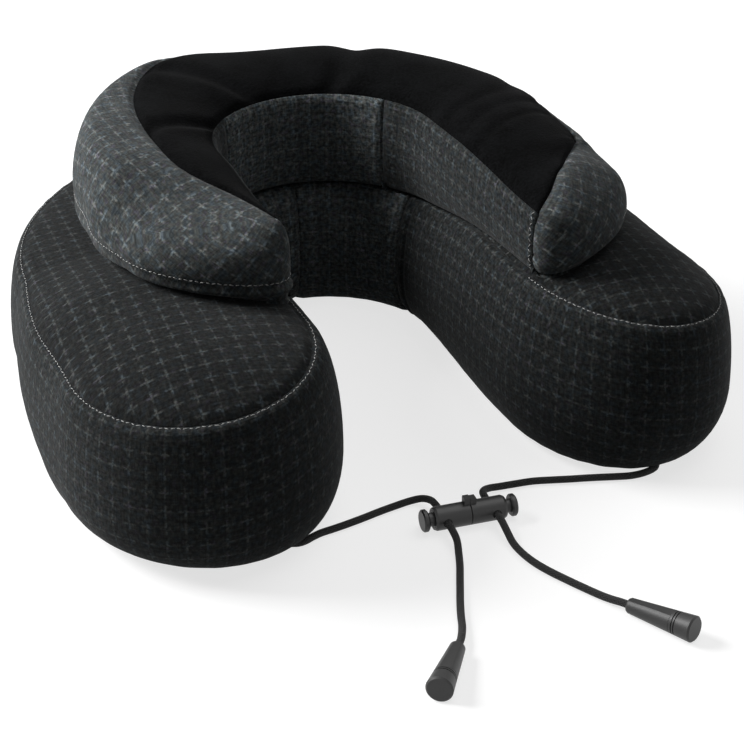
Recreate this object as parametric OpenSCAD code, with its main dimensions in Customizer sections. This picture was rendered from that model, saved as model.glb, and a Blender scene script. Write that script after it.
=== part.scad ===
// Travel neck pillow: a boxed U cushion carrying a raised crescent roll, sewn cover with a
// back zip, and two drawcords joined by a barrel clasp in front.

/* [Neck opening] */
// Radius of the round back of the neck opening
neck_r = 40; // [36:1:44]
// Angle through which the left arm turns round the neck
left_turn = 94; // [84:1:96]
// Angle through which the right arm turns round the neck
right_turn = 84; // [82:1:96]
// Straight length of both arms after the turn
arm_l = 92; // [84:1:100]

/* [Lower cushion] */
// Thickness of the cushion behind the neck
back_t = 91; // [84:1:96]
// Width of the left front lobe
left_lobe_w = 107; // [94:1:112]
// Width of the right front lobe
right_lobe_w = 94; // [90:1:112]
// Reach of the rounded lobe ends past the arms
lobe_end = 62; // [56:1:70]
// Swell of the lobes into the neck opening
lobe_in = 5.5; // [0:0.5:7]
// Height of the top seam behind the neck
seam_back_z = 59; // [54:1:64]
// Height of the top seam inside the lobes
seam_lobe_z = 70; // [64:1:74]
// How much lower the lobe seam runs on the outside
seam_drop = 9.5; // [0:0.5:11]
// Crown of the top panel above the seam behind the neck
back_crown = 2; // [1:0.5:4]
// Crown of the lobe tops above their inner seam
lobe_crown = 5; // [2:0.5:8]
// Height at which the side walls bulge most
belly_z = 26; // [22:1:30]
// Set-back of the top seam from the bulge on the neck side
seam_in_neck = 11.5; // [7:0.5:13]
// Set-back of the top seam from the bulge on the outside
seam_in_out = 6.5; // [3:0.5:8]
// Roll-under of the wall at the base on the neck side
base_in_neck = 12.5; // [9:0.5:16]
// Roll-under of the wall at the base on the outside
base_in_out = 23.5; // [16:0.5:25]

/* [Raised roll] */
// Thickness of the roll behind the neck
roll_back_t = 67; // [58:1:70]
// Thickness of the left side of the roll
left_roll_t = 56; // [48:1:60]
// Thickness of the right side of the roll
right_roll_t = 58; // [48:1:60]
// Reach of the rounded tips
roll_tip_end = 22; // [20:1:28]
// How far the outside of the tips stays behind their neck side
roll_lag = 33; // [26:1:40]
// Straight length of the left side of the roll
left_roll_l = 74; // [64:1:84]
// Straight length of the right side of the roll
right_roll_l = 98; // [84:1:106]
// Set-back of the roll from the neck line
roll_inset = 4; // [2:0.5:5]
// Height of the roll behind the neck
roll_back_z = 109; // [104:1:116]
// Height of the roll at its left tip
left_tip_z = 103; // [100:1:110]
// Height of the roll at its right tip
right_tip_z = 105; // [100:1:110]
// Fall of the top panel from its crown to its seam
plush_drop = 7; // [5:0.5:9]
// Lift of the roll's outside shoulder behind the left side
left_shoulder = 8; // [0:0.5:9]
// Set-back of the top seam from the roll's bulge on the neck side
plush_in_neck = 2.5; // [1:0.5:4]
// Rounding of the roll's shoulder on the outside
plush_in_out = 9; // [5:0.5:11]
// Tuck of the roll's wall into the crease on the neck side
crease_in_neck = 3.5; // [2.5:0.5:6]
// Tuck of the roll's wall into the crease on the outside
crease_in_out = 11; // [6:0.5:12]

/* [Cover] */
// Thickness of the woven cover fabric
fabric_t = 1.2; // [0.8:0.1:1.6]
// Thickness of the plush fabric with its pile
plush_t = 2; // [1.4:0.1:2.4]
// Gap between cover and foam
foam_gap = 0.5; // [0.4:0.1:0.8]
// Gap between the roll and the cushion under it
roll_gap = 0.7; // [0.6:0.1:0.9]
// Angle from the middle of the back to the neck panel seams
neck_seam_a = 65; // [58:1:72]
// Angle from the middle of the back to the roll's neck seams
roll_seam_a = 50; // [44:1:60]

/* [Zip] */
// Angle from the middle of the back to each end of the zip
zip_half_a = 38; // [32:1:40]
// Height of the zip opening between the back bands
zip_slot = 12; // [11:0.5:14]
// Thickness of the zip tapes
tape_t = 0.8; // [0.6:0.1:1]
// Width of the closed zip coil
coil_w = 4.4; // [4:0.1:5]
// Height of the zip coil above the tapes
coil_t = 1.4; // [1.2:0.1:1.8]
// Length of the slider
slider_l = 10; // [8:0.5:12]
// Thickness of the slider's plates
slider_wall = 1; // [0.8:0.1:1.2]
// Length of the zip pull
pull_l = 20; // [16:1:24]
// Width of the zip pull
pull_w = 5; // [4.5:0.5:6]
// Thickness of the zip pull
pull_t = 1.6; // [1.2:0.1:2]
// Diameter of the pin that the pull swings on
pull_pin_d = 1.6; // [1.4:0.1:1.8]

/* [Clasp and cord] */
// Diameter of the drawcord
cord_d = 2.8; // [2.6:0.1:3]
// Diameter of the clasp barrel
clasp_d = 9.2; // [9:0.1:10]
// Length of one clasp half
half_l = 14.2; // [14:0.1:16]
// Distance of the cord holes from the middle of the clasp
hole_x = 9.8; // [9.6:0.1:10]
// Travel of the spring buttons
press = 2; // [1.6:0.1:2]
// Diameter of the button's plunger
plunger_d = 6.4; // [6.2:0.1:6.6]
// Diameter of the button's finger flange
flange_d = 8.6; // [8:0.1:9]
// Thickness of the finger flange
flange_t = 2.2; // [1.8:0.1:2.6]
// Wall between the button bore and the clasp's middle
mid_wall = 3.2; // [3:0.1:3.4]
// Wire diameter of the button spring
wire_d = 0.45; // [0.4:0.05:0.5]
// Turns of the button spring
spring_turns = 3; // [3:1:4]

/* [Cord ends] */
// Length of the tapered cord end
end_shell_l = 18; // [17:0.5:22]
// Length of its lid
end_lid_l = 8.5; // [7:0.5:10]
// Diameter at the cord
end_d1 = 5.6; // [5.2:0.1:6]
// Diameter of the closed end
end_d2 = 9.6; // [9:0.1:10.4]
// Wall of the cord end
end_wall = 1.1; // [0.9:0.1:1.3]
// Diameter of the knot in the cord end
knot_d = 4.2; // [3.8:0.1:4.4]

/* [Hidden] */
$fn = 48;

// Running gap of sliding plastic pieces, gap of seated ones, and half a sewn seam
run_gap = 0.15;
seat_gap = 0.1;
seam_u = 0.01;
seam_s = 0.15;

// Where along the arms the cushion swells and the roll thins, as shares of their length
swell = [0.2, 0.8];
swell_in = [0.35, 0.95];
thin = [0.08, 0.6];
dip = [0.54, 1];
slant = [0.45, 1];
lean = [0.65, 1];
shoulder_up = [0, 0.15];
shoulder_down = [0.55, 0.8];
// Where along each side of the roll the plush comes off its outside
left_sweep = [0, 0.45];
right_sweep = [0.8, 1];
// How far down the back the plush reaches, 1 being its seam and 2 the bulge
plush_back_u = 1.3;
// How far the ridge of the left tip leans to the neck, as a share of the half thickness
left_lean = -0.85;
// Shape powers of the crowned tops, and the height share of the roll's bulge
crown_power = 2.6;
plush_power = 2.2;
roll_belly = 0.42;

// Facets along the cushion and the roll
n_zip = 5;
n_seam = 2;
n_turn = 2;
n_arm = 4;
n_lobe = 8;
n_roll = 4;
n_roll_turn = 3;
n_roll_arm = 6;
n_tip = 8;

function ramp(r, x) =
    let (t = max(0, min(1, (x - r[0])/(r[1] - r[0])))) t*t*(3 - 2*t);
function steps(a, b, n) = [for (i = [1:n]) a + (b - a)*i/n];
function flip(v) = [for (i = [len(v) - 1:-1:0]) v[i]];
function slice(v, a, b) = [for (i = [a:b]) v[i]];
function lift(p, z) = [p.x, p.y, z];
function neck_arc(a) = neck_r*a*PI/180;
function turn(side) = side < 0 ? left_turn : right_turn;
function turn_l(side) = neck_arc(turn(side));

// Plan point s along the neck line and w out from it, about the centre of the neck arc
function plan_neck(side, s, w) =
    let (a = min(s/neck_arc(1), turn(side)), e = max(0, s - turn_l(side)))
    [side*((neck_r + w)*sin(a) + e*cos(a)), (neck_r + w)*cos(a) - e*sin(a)];
function plan(side, s, w) = plan_neck(side, s, w) - mid;

// Lower cushion: half width, distance of its middle line, and rise along the arms
function arm_end(side) = turn_l(side) + arm_l;
function lobe_w(side) = side < 0 ? left_lobe_w : right_lobe_w;
function rise(side, s) = ramp(swell, s/arm_end(side));
function half_w(side, s) = (back_t + (lobe_w(side) - back_t)*rise(side, s))/2;
function mid_w(side, s) = half_w(side, s) - lobe_in*ramp(swell_in, s/arm_end(side));
function outness(a) = (1 + cos(a))/2;
function blend(a, b, t) = a + (b - a)*t;
function seam_z(side, s, out) =
    seam_back_z + (seam_lobe_z - seam_back_z - seam_drop*out)*rise(side, s);
function crown_z(side, s) = blend(seam_back_z + back_crown, seam_lobe_z + lobe_crown, rise(side, s));
function seam_in(out) = blend(seam_in_neck, seam_in_out, out);
function base_in(out) = blend(base_in_neck, base_in_out, out);

// A station is [side, s, a]: a is 0 on the outside, 180 on the neck side, between on an end
function ellipse_r(h, e, a) = norm([h*cos(a), e*sin(a)]);
function across(st, x, c) = x*cos(st[2]) + (1 - x)*c;
function spread(st, h, w, e, x, lag = 0, c = 0) =
    plan(st[0], st[1] + x*e*sin(st[2]) - lag*(1 + across(st, x, c))/2, w + h*across(st, x, c));

// Section of the cushion, d inside its skin: u 0 to 1 is the top, to 2 the upper wall, to 3 the
// lower wall, to 4 the base
function lower_rz(st, u, d) =
    let (
        out = outness(st[2]),
        r = ellipse_r(half_w(st[0], st[1]), lobe_end, st[2]),
        rs = r - seam_in(out) - d/2,
        rb = r - base_in(out),
        zs = seam_z(st[0], st[1], out) - d,
        zc = crown_z(st[0], st[1]) - d
    )
    u <= 1 ? [rs*u, zc - (zc - zs)*pow(u, crown_power)]
    : u <= 2 ? [rs + (r - d - rs)*sin(90*(u - 1)), belly_z + (zs - belly_z)*cos(90*(u - 1))]
    : u <= 3 ? [rb + (r - d - rb)*cos(90*(u - 2)), belly_z - (belly_z - d)*sin(90*(u - 2))]
    : [rb*(4 - u), d];
function lower_pt(st, u, d) =
    let (
        rz = lower_rz(st, u, d),
        h = half_w(st[0], st[1]),
        x = rz[0]/ellipse_r(h, lobe_end, st[2])
    )
    lift(spread(st, h, mid_w(st[0], st[1]), lobe_end, x), rz[1]);

// Height of the cushion's top at a plan point, where the roll sits
function top_z(side, s, w) =
    let (
        b = min(s, arm_end(side)),
        h = half_w(side, b),
        x = (w - mid_w(side, b))/h,
        y = (s - b)/lobe_end,
        q = norm([x, y]),
        a = atan2(y, x),
        out = outness(a),
        r = ellipse_r(h, lobe_end, a),
        zc = crown_z(side, b)
    )
    zc - (zc - seam_z(side, b, out))*pow(min(1, q*r/(r - seam_in(out))), crown_power);

// Raised roll: length, thickness along it, height of its ridge and the ridge's lean
function roll_end(side) = turn_l(side) + (side < 0 ? left_roll_l : right_roll_l);
function roll_half(side, s) =
    blend(roll_back_t, side < 0 ? left_roll_t : right_roll_t, ramp(thin, s/roll_end(side)))/2;
function roll_z(side, s) =
    blend(roll_back_z, side < 0 ? left_tip_z : right_tip_z, ramp(dip, s/roll_end(side)));
function roll_lean(side, s) = side < 0 ? left_lean*ramp(lean, s/roll_end(side)) : 0;
function roll_slant(side, s) = roll_lag*ramp(slant, s/roll_end(side));
function plush_in(a) = blend(plush_in_neck, plush_in_out, outness(a));
function crease_in(a) = blend(crease_in_neck, crease_in_out, outness(a));
function shoulder(st) =
    let (f = st[1]/roll_end(st[0]))
    st[0] > 0 ? 0 : left_shoulder*outness(st[2])*ramp(shoulder_up, f)*(1 - ramp(shoulder_down, f));
function roll_seat_z(st, h, x) =
    let (c = across(st, x, roll_lean(st[0], st[1])))
    top_z(
        st[0],
        st[1] + x*roll_tip_end*sin(st[2]) - roll_slant(st[0], st[1])*(1 + c)/2,
        roll_inset + h + h*c) + roll_gap;

// Section of the roll, d inside its skin: u 0 to 1 is the top, to 3 the wall, to 4 its seat
function roll_pt(st, u, d) =
    let (
        h = roll_half(st[0], st[1]),
        r = ellipse_r(h, roll_tip_end, st[2]),
        rs = r - plush_in(st[2]) - d,
        rc = r - crease_in(st[2]) - d,
        zt = roll_z(st[0], st[1]) - d,
        zs = roll_z(st[0], st[1]) - plush_drop + shoulder(st) - 0.6*d,
        zc = roll_seat_z(st, h, 1 - crease_in(st[2])/r),
        zb = blend(zc, zs, roll_belly),
        rad = u <= 1 ? rs*u
            : u <= 2 ? rs + (r - d - rs)*sin(90*(u - 1))
            : u <= 3 ? rc + (r - d - rc)*cos(90*(u - 2))
            : rc*(4 - u),
        x = rad/r,
        z = u <= 1 ? zt - (zt - zs)*pow(u, plush_power)
            : u <= 2 ? zb + (zs - zb)*cos(90*(u - 1))
            : u <= 3 ? zb - (zb - zc)*sin(90*(u - 2))
            : roll_seat_z(st, h, x)
    )
    lift(
        spread(
            st, h, roll_inset + h, roll_tip_end, x,
            roll_slant(st[0], st[1]), roll_lean(st[0], st[1])),
        z);
// Where the plush ends on the outside, as a place on the roll's section
function plush_u(st) =
    plush_back_u*(1 - ramp(st[0] < 0 ? left_sweep : right_sweep, st[1]/roll_end(st[0])));

// Stations: outside of one arm, round its end, and back along the neck
function arm_s(side) = concat(
    [0],
    steps(0, neck_arc(zip_half_a), n_zip),
    steps(neck_arc(zip_half_a), neck_arc(neck_seam_a), n_seam),
    steps(neck_arc(neck_seam_a), turn_l(side), n_turn),
    steps(turn_l(side), arm_end(side), n_arm)
);
function roll_s(side) = concat(
    [0],
    steps(0, neck_arc(roll_seam_a), n_roll),
    steps(neck_arc(roll_seam_a), turn_l(side), n_roll_turn),
    steps(turn_l(side), roll_end(side), n_roll_arm)
);
function at(side, list, a) = [for (s = list) [side, s, a]];
function end_turn(side, s, n) = [for (k = [1:n - 1]) [side, s, 180*k/n]];
function round_arm(side, list, n) = concat(
    at(side, list, 0), end_turn(side, list[len(list) - 1], n), at(side, flip(list), 180));
function whole_loop(right, left) = concat(right, slice(flip(left), 1, len(left) - 2));
function lower_loop() = whole_loop(
    round_arm(1, arm_s(1), n_lobe), round_arm(-1, arm_s(-1), n_lobe));
function roll_loop() = whole_loop(
    round_arm(1, roll_s(1), n_tip), round_arm(-1, roll_s(-1), n_tip));

// Places of the zip's edges on the section, and the section lines that the pieces share
zip_hi = 1 + acos(zip_slot/2/(seam_back_z - belly_z))/90;
zip_lo = 2 + asin(zip_slot/2/belly_z)/90;
top_lines = [0, 1/3, 2/3, 1 - seam_u];
upper_wall = [1 + seam_u, 1.35, 1.7, zip_hi];
lower_wall = [zip_lo, 2.35, 2.7, 3 - seam_u];
roll_lines = [0, 1/3, 2/3, 1, 1.5, 2, 2.5, 3];
roll_wall = [1 + seam_u, 1.5, 2, 2.5, 3];
foam_d = fabric_t + foam_gap;
plush_foam_d = plush_t + foam_gap;

// The part is centred on the box of its walls and zip
outline = [for (st = lower_loop())
    let (h = half_w(st[0], st[1]), r = ellipse_r(h, lobe_end, st[2]))
    plan_neck(
        st[0],
        st[1] + lobe_end*sin(st[2])*lower_rz(st, zip_hi, 0)[0]/r,
        mid_w(st[0], st[1]) + h*cos(st[2])*lower_rz(st, zip_hi, 0)[0]/r)];
coil_r = neck_r + back_t + coil_t;
mid = [
    (max([for (p = outline) p.x]) + min([for (p = outline) p.x]))/2,
    (coil_r + min([for (p = outline) p.y]))/2
];

// Faces of a grid of stations by lines; faces that have shrunk to a line are left out
function quads(n, m, wrap) = [
    for (i = [0:n - (wrap ? 1 : 2)], j = [0:m - 2])
        let (a = i*m + j, d = ((i + 1) % n)*m + j)
        each [[a, a + 1, d + 1], [a, d + 1, d]]
];
function strip(v, k) = [
    for (i = [0:len(v) - 2]) each [[v[i], v[i + 1], v[i + 1] + k], [v[i], v[i + 1] + k, v[i] + k]]
];
function real(tris, pts) = [
    for (t = tris)
        if (pts[t[0]] != pts[t[1]] && pts[t[1]] != pts[t[2]] && pts[t[2]] != pts[t[0]]) t
];
function join_rows(rows) = [for (row = rows) each row];

// Closed skin whose lines meet along the middle of its top and of its base
module closed_skin(rows) {
    pts = join_rows(rows);
    polyhedron(pts, real(quads(len(rows), len(rows[0]), true), pts));
}

// Sheet of fabric between two layers, with its cut edges; wrap is a sheet that goes right round
module sheet(outer, inner, wrap = false) {
    n = len(outer);
    m = len(outer[0]);
    k = n*m;
    pts = concat(join_rows(outer), join_rows(inner));
    face = quads(n, m, wrap);
    lining = [for (t = face) [t[0] + k, t[2] + k, t[1] + k]];
    last = [for (i = [0:n - (wrap ? 0 : 1)]) (i % n)*m + m - 1];
    first = [for (i = [0:n - 1]) i*m];
    ends = concat(
        strip(first, k),
        strip([for (j = [m - 1:-1:0]) j], k),
        strip([for (j = [0:m - 1]) (n - 1)*m + j], k));
    rim = concat(strip(flip(last), k), wrap ? [] : ends);
    polyhedron(pts, real(concat(face, lining, rim), pts));
}
module lower_sheet(path, lines, wrap = false) {
    sheet(
        [for (st = path) [for (u = lines) lower_pt(st, u, 0)]],
        [for (st = path) [for (u = lines) lower_pt(st, u, fabric_t)]],
        wrap);
}
module roll_sheet(path, lines, t) {
    sheet(
        [for (i = [0:len(path) - 1]) [for (u = lines[i]) roll_pt(path[i], u, 0)]],
        [for (i = [0:len(path) - 1]) [for (u = lines[i]) roll_pt(path[i], u, t)]]);
}
function eased(path) = [
    for (i = [0:len(path) - 1])
        let (st = path[i], cut = i == 0 || i == len(path) - 1)
        [st[0], st[1] + (cut ? seam_s : 0), st[2]]
];
function same_way(side, path) = side > 0 ? path : flip(path);

// Foam: a boxed U core and the crescent bonded on it
module lower_foam() {
    lines = concat(top_lines, slice(upper_wall, 1, 3), lower_wall, [4]);
    color("khaki") closed_skin([for (st = lower_loop()) [for (u = lines) lower_pt(st, u, foam_d)]]);
}
module upper_foam() {
    lines = concat(roll_lines, [3.35, 3.7, 4]);
    color("khaki")
        closed_skin([for (st = roll_loop()) [for (u = lines) roll_pt(st, u, plush_foam_d)]]);
}

// Lower cover: flat base, crowned top, bands round the lobes, split back band and neck panels
module base_panel() {
    color("dimgray") linear_extrude(fabric_t)
        polygon([for (st = lower_loop())
            let (p = lower_pt(st, 3 + seam_u, 0)) [p.x, p.y]]);
}
module lower_top_panel() {
    loop = lower_loop();
    color("dimgray") sheet(
        [for (st = loop) [for (u = top_lines) lower_pt(st, u, 0)]],
        [for (st = loop) [for (u = top_lines) lower_pt(st, u, fabric_t)]],
        true);
}
module side_band(side) {
    list = arm_s(side);
    out = at(side, slice(list, n_zip, len(list) - 1), 0);
    neck = at(side, slice(flip(list), 0, len(list) - 1 - n_zip - n_seam), 180);
    path = concat(out, end_turn(side, arm_end(side), n_lobe), neck);
    color("dimgray") lower_sheet(same_way(side, eased(path)), concat(upper_wall, lower_wall));
}
module left_side_band() { side_band(-1); }
module right_side_band() { side_band(1); }
module back_band(lines) {
    list = slice(arm_s(1), 0, n_zip);
    path = concat(at(-1, flip(slice(list, 1, n_zip)), 0), at(1, list, 0));
    color("dimgray") lower_sheet(path, lines);
}
module upper_back_band() { back_band(upper_wall); }
module lower_back_band() { back_band(lower_wall); }
module neck_panel(side) {
    list = slice(arm_s(side), 0, n_zip + n_seam);
    path = [for (i = [len(list) - 1:-1:0]) [side, i == 0 ? seam_s : list[i], 180]];
    color("gray") lower_sheet(same_way(side, path), concat(upper_wall, lower_wall));
}
module left_neck_panel() { neck_panel(-1); }
module right_neck_panel() { neck_panel(1); }

// Roll cover: plush top that sweeps off the outside towards the tips, sides that wrap the tips,
// and three panels on the neck side
module plush_top_panel() {
    left = roll_s(-1);
    right = roll_s(1);
    path = concat(
        [for (i = [len(left) - 1:-1:1]) [-1, left[i]]],
        [for (s = right) [1, s]]);
    neck_u = flip(slice(top_lines, 1, len(top_lines) - 1));
    rows = function (d) [for (p = path) concat(
        [for (u = neck_u) roll_pt([p[0], p[1], 180], u, d)],
        let (st = [p[0], p[1], 0], b = max(0, plush_u(st) - seam_u))
        [for (u = slice(roll_lines, 0, 5)) roll_pt(st, min(u, b), d)])];
    color("black") sheet(rows(0), rows(plush_t));
}
module roll_side(side) {
    list = roll_s(side);
    tip = list[len(list) - 1];
    path = concat(
        [for (i = [0:len(list) - 1]) [side, i == 0 ? seam_s : list[i], 0]],
        end_turn(side, tip, n_tip),
        [[side, tip, 179]]);
    lines = [for (st = path)
        let (b = st[2] == 0 ? plush_u(st) + seam_u : 0)
        [for (u = roll_lines) max(u, b)]];
    color("dimgray") roll_sheet(same_way(side, path), same_way(side, lines), fabric_t);
}
module left_roll_side() { roll_side(-1); }
module right_roll_side() { roll_side(1); }
module roll_neck(path) {
    color("gray") roll_sheet(path, [for (st = path) roll_wall], fabric_t);
}
module roll_neck_panel() {
    list = slice(roll_s(1), 0, n_roll);
    roll_neck(concat(at(1, flip(list), 180), at(-1, slice(list, 1, n_roll), 180)));
}
module roll_neck_arm(side) {
    list = roll_s(side);
    path = at(side, [for (i = [len(list) - 1:-1:n_roll]) list[i] + (i == n_roll ? seam_s : 0)], 180);
    roll_neck(same_way(side, path));
}
module left_roll_neck() { roll_neck_arm(-1); }
module right_roll_neck() { roll_neck_arm(1); }

// Zip: bent round the middle of the neck at the height of the bulge. Angles run from the middle
// of the back towards the right arm.
back_r = neck_r + back_t;
tape_r = back_r - fabric_t;
coil_base = tape_r + tape_t + seat_gap;
coil_top = coil_base + coil_t + fabric_t - tape_t - seat_gap;
stop_a = 2;
zip_end_a = zip_half_a - 0.5;
slider_a = slider_l/coil_r*180/PI;
slider_rest_a = zip_end_a - stop_a - slider_a/2 - 0.3;
pin_r = coil_top + slider_wall + pull_pin_d + 2*run_gap;
pin_gap = 0.05;

// Ring sector from angle a to angle b round the neck centre, with the drawn section
module zip_arc(a, b) {
    translate(-mid) rotate_extrude(start = 90 - b, angle = b - a, $fn = 180) children();
}
module place_zip(r, a) {
    translate([r*sin(a) - mid.x, r*cos(a) - mid.y, belly_z]) rotate(-a) children();
}
module zip_tapes() {
    h = zip_slot/2 - 4*seat_gap;
    color("black") zip_arc(-zip_end_a, zip_end_a)
        for (z = [seat_gap, -h]) translate([tape_r + seat_gap, belly_z + z]) square([tape_t, h - seat_gap]);
}
module coil_section(grow) {
    translate([coil_base, belly_z - coil_w/2 - grow]) square([coil_t/2, coil_w + 2*grow]);
    translate([coil_base + coil_t/2, belly_z - coil_w/2 - grow + coil_t/4])
        square([coil_top - coil_base - coil_t/2 + grow, coil_w + 2*grow - coil_t/2]);
}
module zip_coil() {
    a = zip_end_a - stop_a;
    color("black") zip_arc(-a, a) coil_section(0);
}
module zip_stops() {
    gap_a = 0.1;
    color("black") for (side = [-1, 1])
        zip_arc(side < 0 ? -zip_end_a : zip_end_a - stop_a + gap_a,
            side < 0 ? -zip_end_a + stop_a - gap_a : zip_end_a) coil_section(0.4);
}
module zip_slider() {
    w = coil_w/2 + run_gap + slider_wall;
    foot = coil_base + 2*run_gap;
    top = coil_top + run_gap;
    a0 = slider_rest_a - slider_a/2;
    color("dimgray") {
        zip_arc(a0, a0 + slider_a) {
            translate([top, belly_z - w]) square([slider_wall, 2*w]);
            for (z = [-w, w - slider_wall]) translate([foot, belly_z + z])
                square([top - foot, slider_wall]);
        }
        for (z = [-w, w - slider_wall]) place_zip(pin_r, slider_rest_a) translate([0, 0, z]) {
            cylinder(d = 2*pull_pin_d, h = slider_wall);
            translate([-pull_pin_d, -pull_pin_d - slider_wall/2, 0])
                cube([2*pull_pin_d, pull_pin_d + slider_wall/2, slider_wall]);
        }
        place_zip(pin_r, slider_rest_a) translate([0, 0, -w]) cylinder(d = pull_pin_d, h = 2*w);
    }
}
module zip_pull() {
    eye_w = coil_w - 2*run_gap;
    eye_d = 2*pull_pin_d;
    grip_l = pull_l*0.6;
    color("dimgray") place_zip(pin_r, slider_rest_a) difference() {
        union() {
            translate([0, 0, -eye_w/2]) cylinder(d = eye_d, h = eye_w);
            translate([-pull_l + pull_w/2, -pull_t/2, -eye_w/2])
                cube([pull_l - pull_w/2, pull_t, eye_w]);
            translate([-grip_l, -pull_t/2, -pull_w/2]) cube([grip_l - eye_d, pull_t, pull_w]);
            translate([-pull_l + pull_w/2, pull_t/2, 0]) rotate([90, 0, 0])
                cylinder(d = pull_w, h = pull_t);
            translate([-pull_l + pull_w/2, -pull_t/2, -pull_w/2])
                cube([pull_l - pull_w/2 - grip_l + 0.01, pull_t, pull_w]);
        }
        translate([0, 0, -eye_w]) cylinder(d = pull_pin_d + 2*pin_gap, h = 2*eye_w);
        translate([-pull_l + pull_w/2, pull_t, 0]) rotate([90, 0, 0])
            cylinder(d = pull_w/2, h = 2*pull_t);
    }
}

// Clasp: two barrel halves with spring buttons that pinch the cords
clasp_at = [10.3, -132.8, clasp_d/2 + 0.1];
bore_d = plunger_d + 2*run_gap;
hole_d = cord_d + 4*run_gap;
lip = 0.5;
neck_d = plunger_d - 1.2;
neck_l = press + 0.2;
spring_gap = 0.1;
plunger_in = hole_x - hole_d/2 - 1.5;
tongue_d = 4.4;
tongue_l = mid_wall - 0.8;
tab = [4.6, 3, 3.2];
module on_clasp(side) { translate(clasp_at) rotate([0, 0, side > 0 ? 0 : 180]) children(); }
module along(x, d, l) { translate([x, 0, 0]) rotate([0, 90, 0]) cylinder(d = d, h = l); }
module barrel() {
    rotate([0, 90, 0]) rotate_extrude() polygon([
        [0, 0], [clasp_d/2 - lip/2, 0], [clasp_d/2, lip/2], [clasp_d/2, half_l - 2*lip],
        [clasp_d/2 - lip, half_l], [0, half_l]]);
}
module half_body() {
    difference() {
        children();
        along(mid_wall, bore_d, half_l);
        translate([hole_x, clasp_d, 0]) rotate([90, 0, 0]) cylinder(d = hole_d, h = 2*clasp_d);
    }
}
module left_clasp_half() {
    color("dimgray") on_clasp(-1) half_body() union() {
        barrel();
        along(-tongue_l, tongue_d, tongue_l + 1);
        translate([0, -tab.y/2, clasp_d/2 - 1]) cube([tab.x/2, tab.y, tab.z + 0.4]);
    }
}
module right_clasp_half() {
    color("dimgray") on_clasp(1) difference() {
        half_body() union() {
            barrel();
            translate([seat_gap, -tab.y/2, clasp_d/2 - 1]) cube([tab.x/2, tab.y, tab.z]);
        }
        along(-1, tongue_d + 2*run_gap, tongue_l + 1 + run_gap);
        along(-1, 2*clasp_d, 1 + seat_gap);
    }
}
module button() {
    flange_x = half_l + neck_l;
    slot_l = press + run_gap;
    difference() {
        union() {
            along(plunger_in, plunger_d, half_l - plunger_in);
            along(half_l - lip, neck_d, neck_l + 2*lip);
            translate([flange_x, 0, 0]) rotate([0, 90, 0]) rotate_extrude() polygon([
                [0, 0], [flange_d/2 - lip, 0], [flange_d/2, lip], [flange_d/2, flange_t - lip],
                [flange_d/2 - lip, flange_t], [0, flange_t]]);
        }
        for (x = [0, slot_l]) translate([hole_x + x, clasp_d, 0]) rotate([90, 0, 0])
            cylinder(d = hole_d, h = 2*clasp_d);
        translate([hole_x, -clasp_d, -hole_d/2]) cube([slot_l, 2*clasp_d, hole_d]);
    }
}
module left_button() { color("dimgray") on_clasp(-1) button(); }
module right_button() { color("dimgray") on_clasp(1) button(); }

// Tube swept along points: rings lie across the mean of the runs before and after each point
function unit(v) = v/norm(v);
function heading(p, i) = unit(p[min(i + 1, len(p) - 1)] - p[max(i - 1, 0)]);
function ring(c, t, r, sides) =
    let (a = unit(cross(t, abs(t.z) > 0.9 ? [1, 0, 0] : [0, 0, 1])), b = cross(a, t))
    [for (k = [0:sides - 1]) c + r*(a*cos(360*k/sides) + b*sin(360*k/sides))];
module tube(p, r, sides) {
    n = len(p);
    pts = [for (i = [0:n - 1]) each ring(p[i], heading(p, i), r, sides)];
    walls = [for (i = [0:n - 2], k = [0:sides - 1])
        let (a = i*sides + k, b = i*sides + (k + 1) % sides)
        each [[a, b, b + sides], [a, b + sides, a + sides]]];
    caps = [for (k = [1:sides - 2])
        each [[0, k + 1, k], [(n - 1)*sides, (n - 1)*sides + k, (n - 1)*sides + k + 1]]];
    polyhedron(pts, concat(walls, caps));
}
module spring() {
    x0 = mid_wall + spring_gap + wire_d/2;
    x1 = plunger_in - spring_gap - wire_d/2;
    r = (plunger_d - wire_d)/2 - 2*run_gap;
    rings = 10;
    tube([for (i = [0:rings*spring_turns])
        let (t = i/(rings*spring_turns), a = 360*i/rings)
        [x0 + (x1 - x0)*t, r*cos(a), r*sin(a)]], wire_d/2, 6);
}
module left_spring() { color("silver") on_clasp(-1) spring(); }
module right_spring() { color("silver") on_clasp(1) spring(); }

// Drawcords: from the lobe's base seam over the floor, through the clasp and on to the cord end
left_route = [
    [-51.6, -127.1, 1.5], [-48.2, -125.4, 1.5], [-44.5, -123.9, 1.5], [-39.5, -122.8, 1.5],
    [-33.5, -121.3, 1.5], [-26.5, -119.3, 1.5], [-19.5, -117.1, 1.5], [-12.5, -115.2, 1.5],
    [-6.5, -114.2, 1.8], [-2.1, -115.4, 2.8], [0.1, -119.2, 4],
    [0.5, -123.8, 4.7], [0.5, -127.8, 4.7], [0.5, -132.8, 4.7], [0.5, -137.8, 4.7], [0.5, -141.8, 4.6],
    [0.4, -146.8, 3.4], [-1.1, -152.8, 1.8], [-3.3, -159.8, 1.5], [-5.9, -166.8, 1.5], [-8.5, -173.8, 1.5],
    [-11.1, -180.8, 1.5], [-13.5, -187.8, 1.5], [-15.6, -194.6, 1.6], [-18.2, -200.6, 2.2],
    [-20.2, -204, 2.6], [-21.8, -206.5, 2.9], [-23.9, -209.6, 3.1]
];
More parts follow.
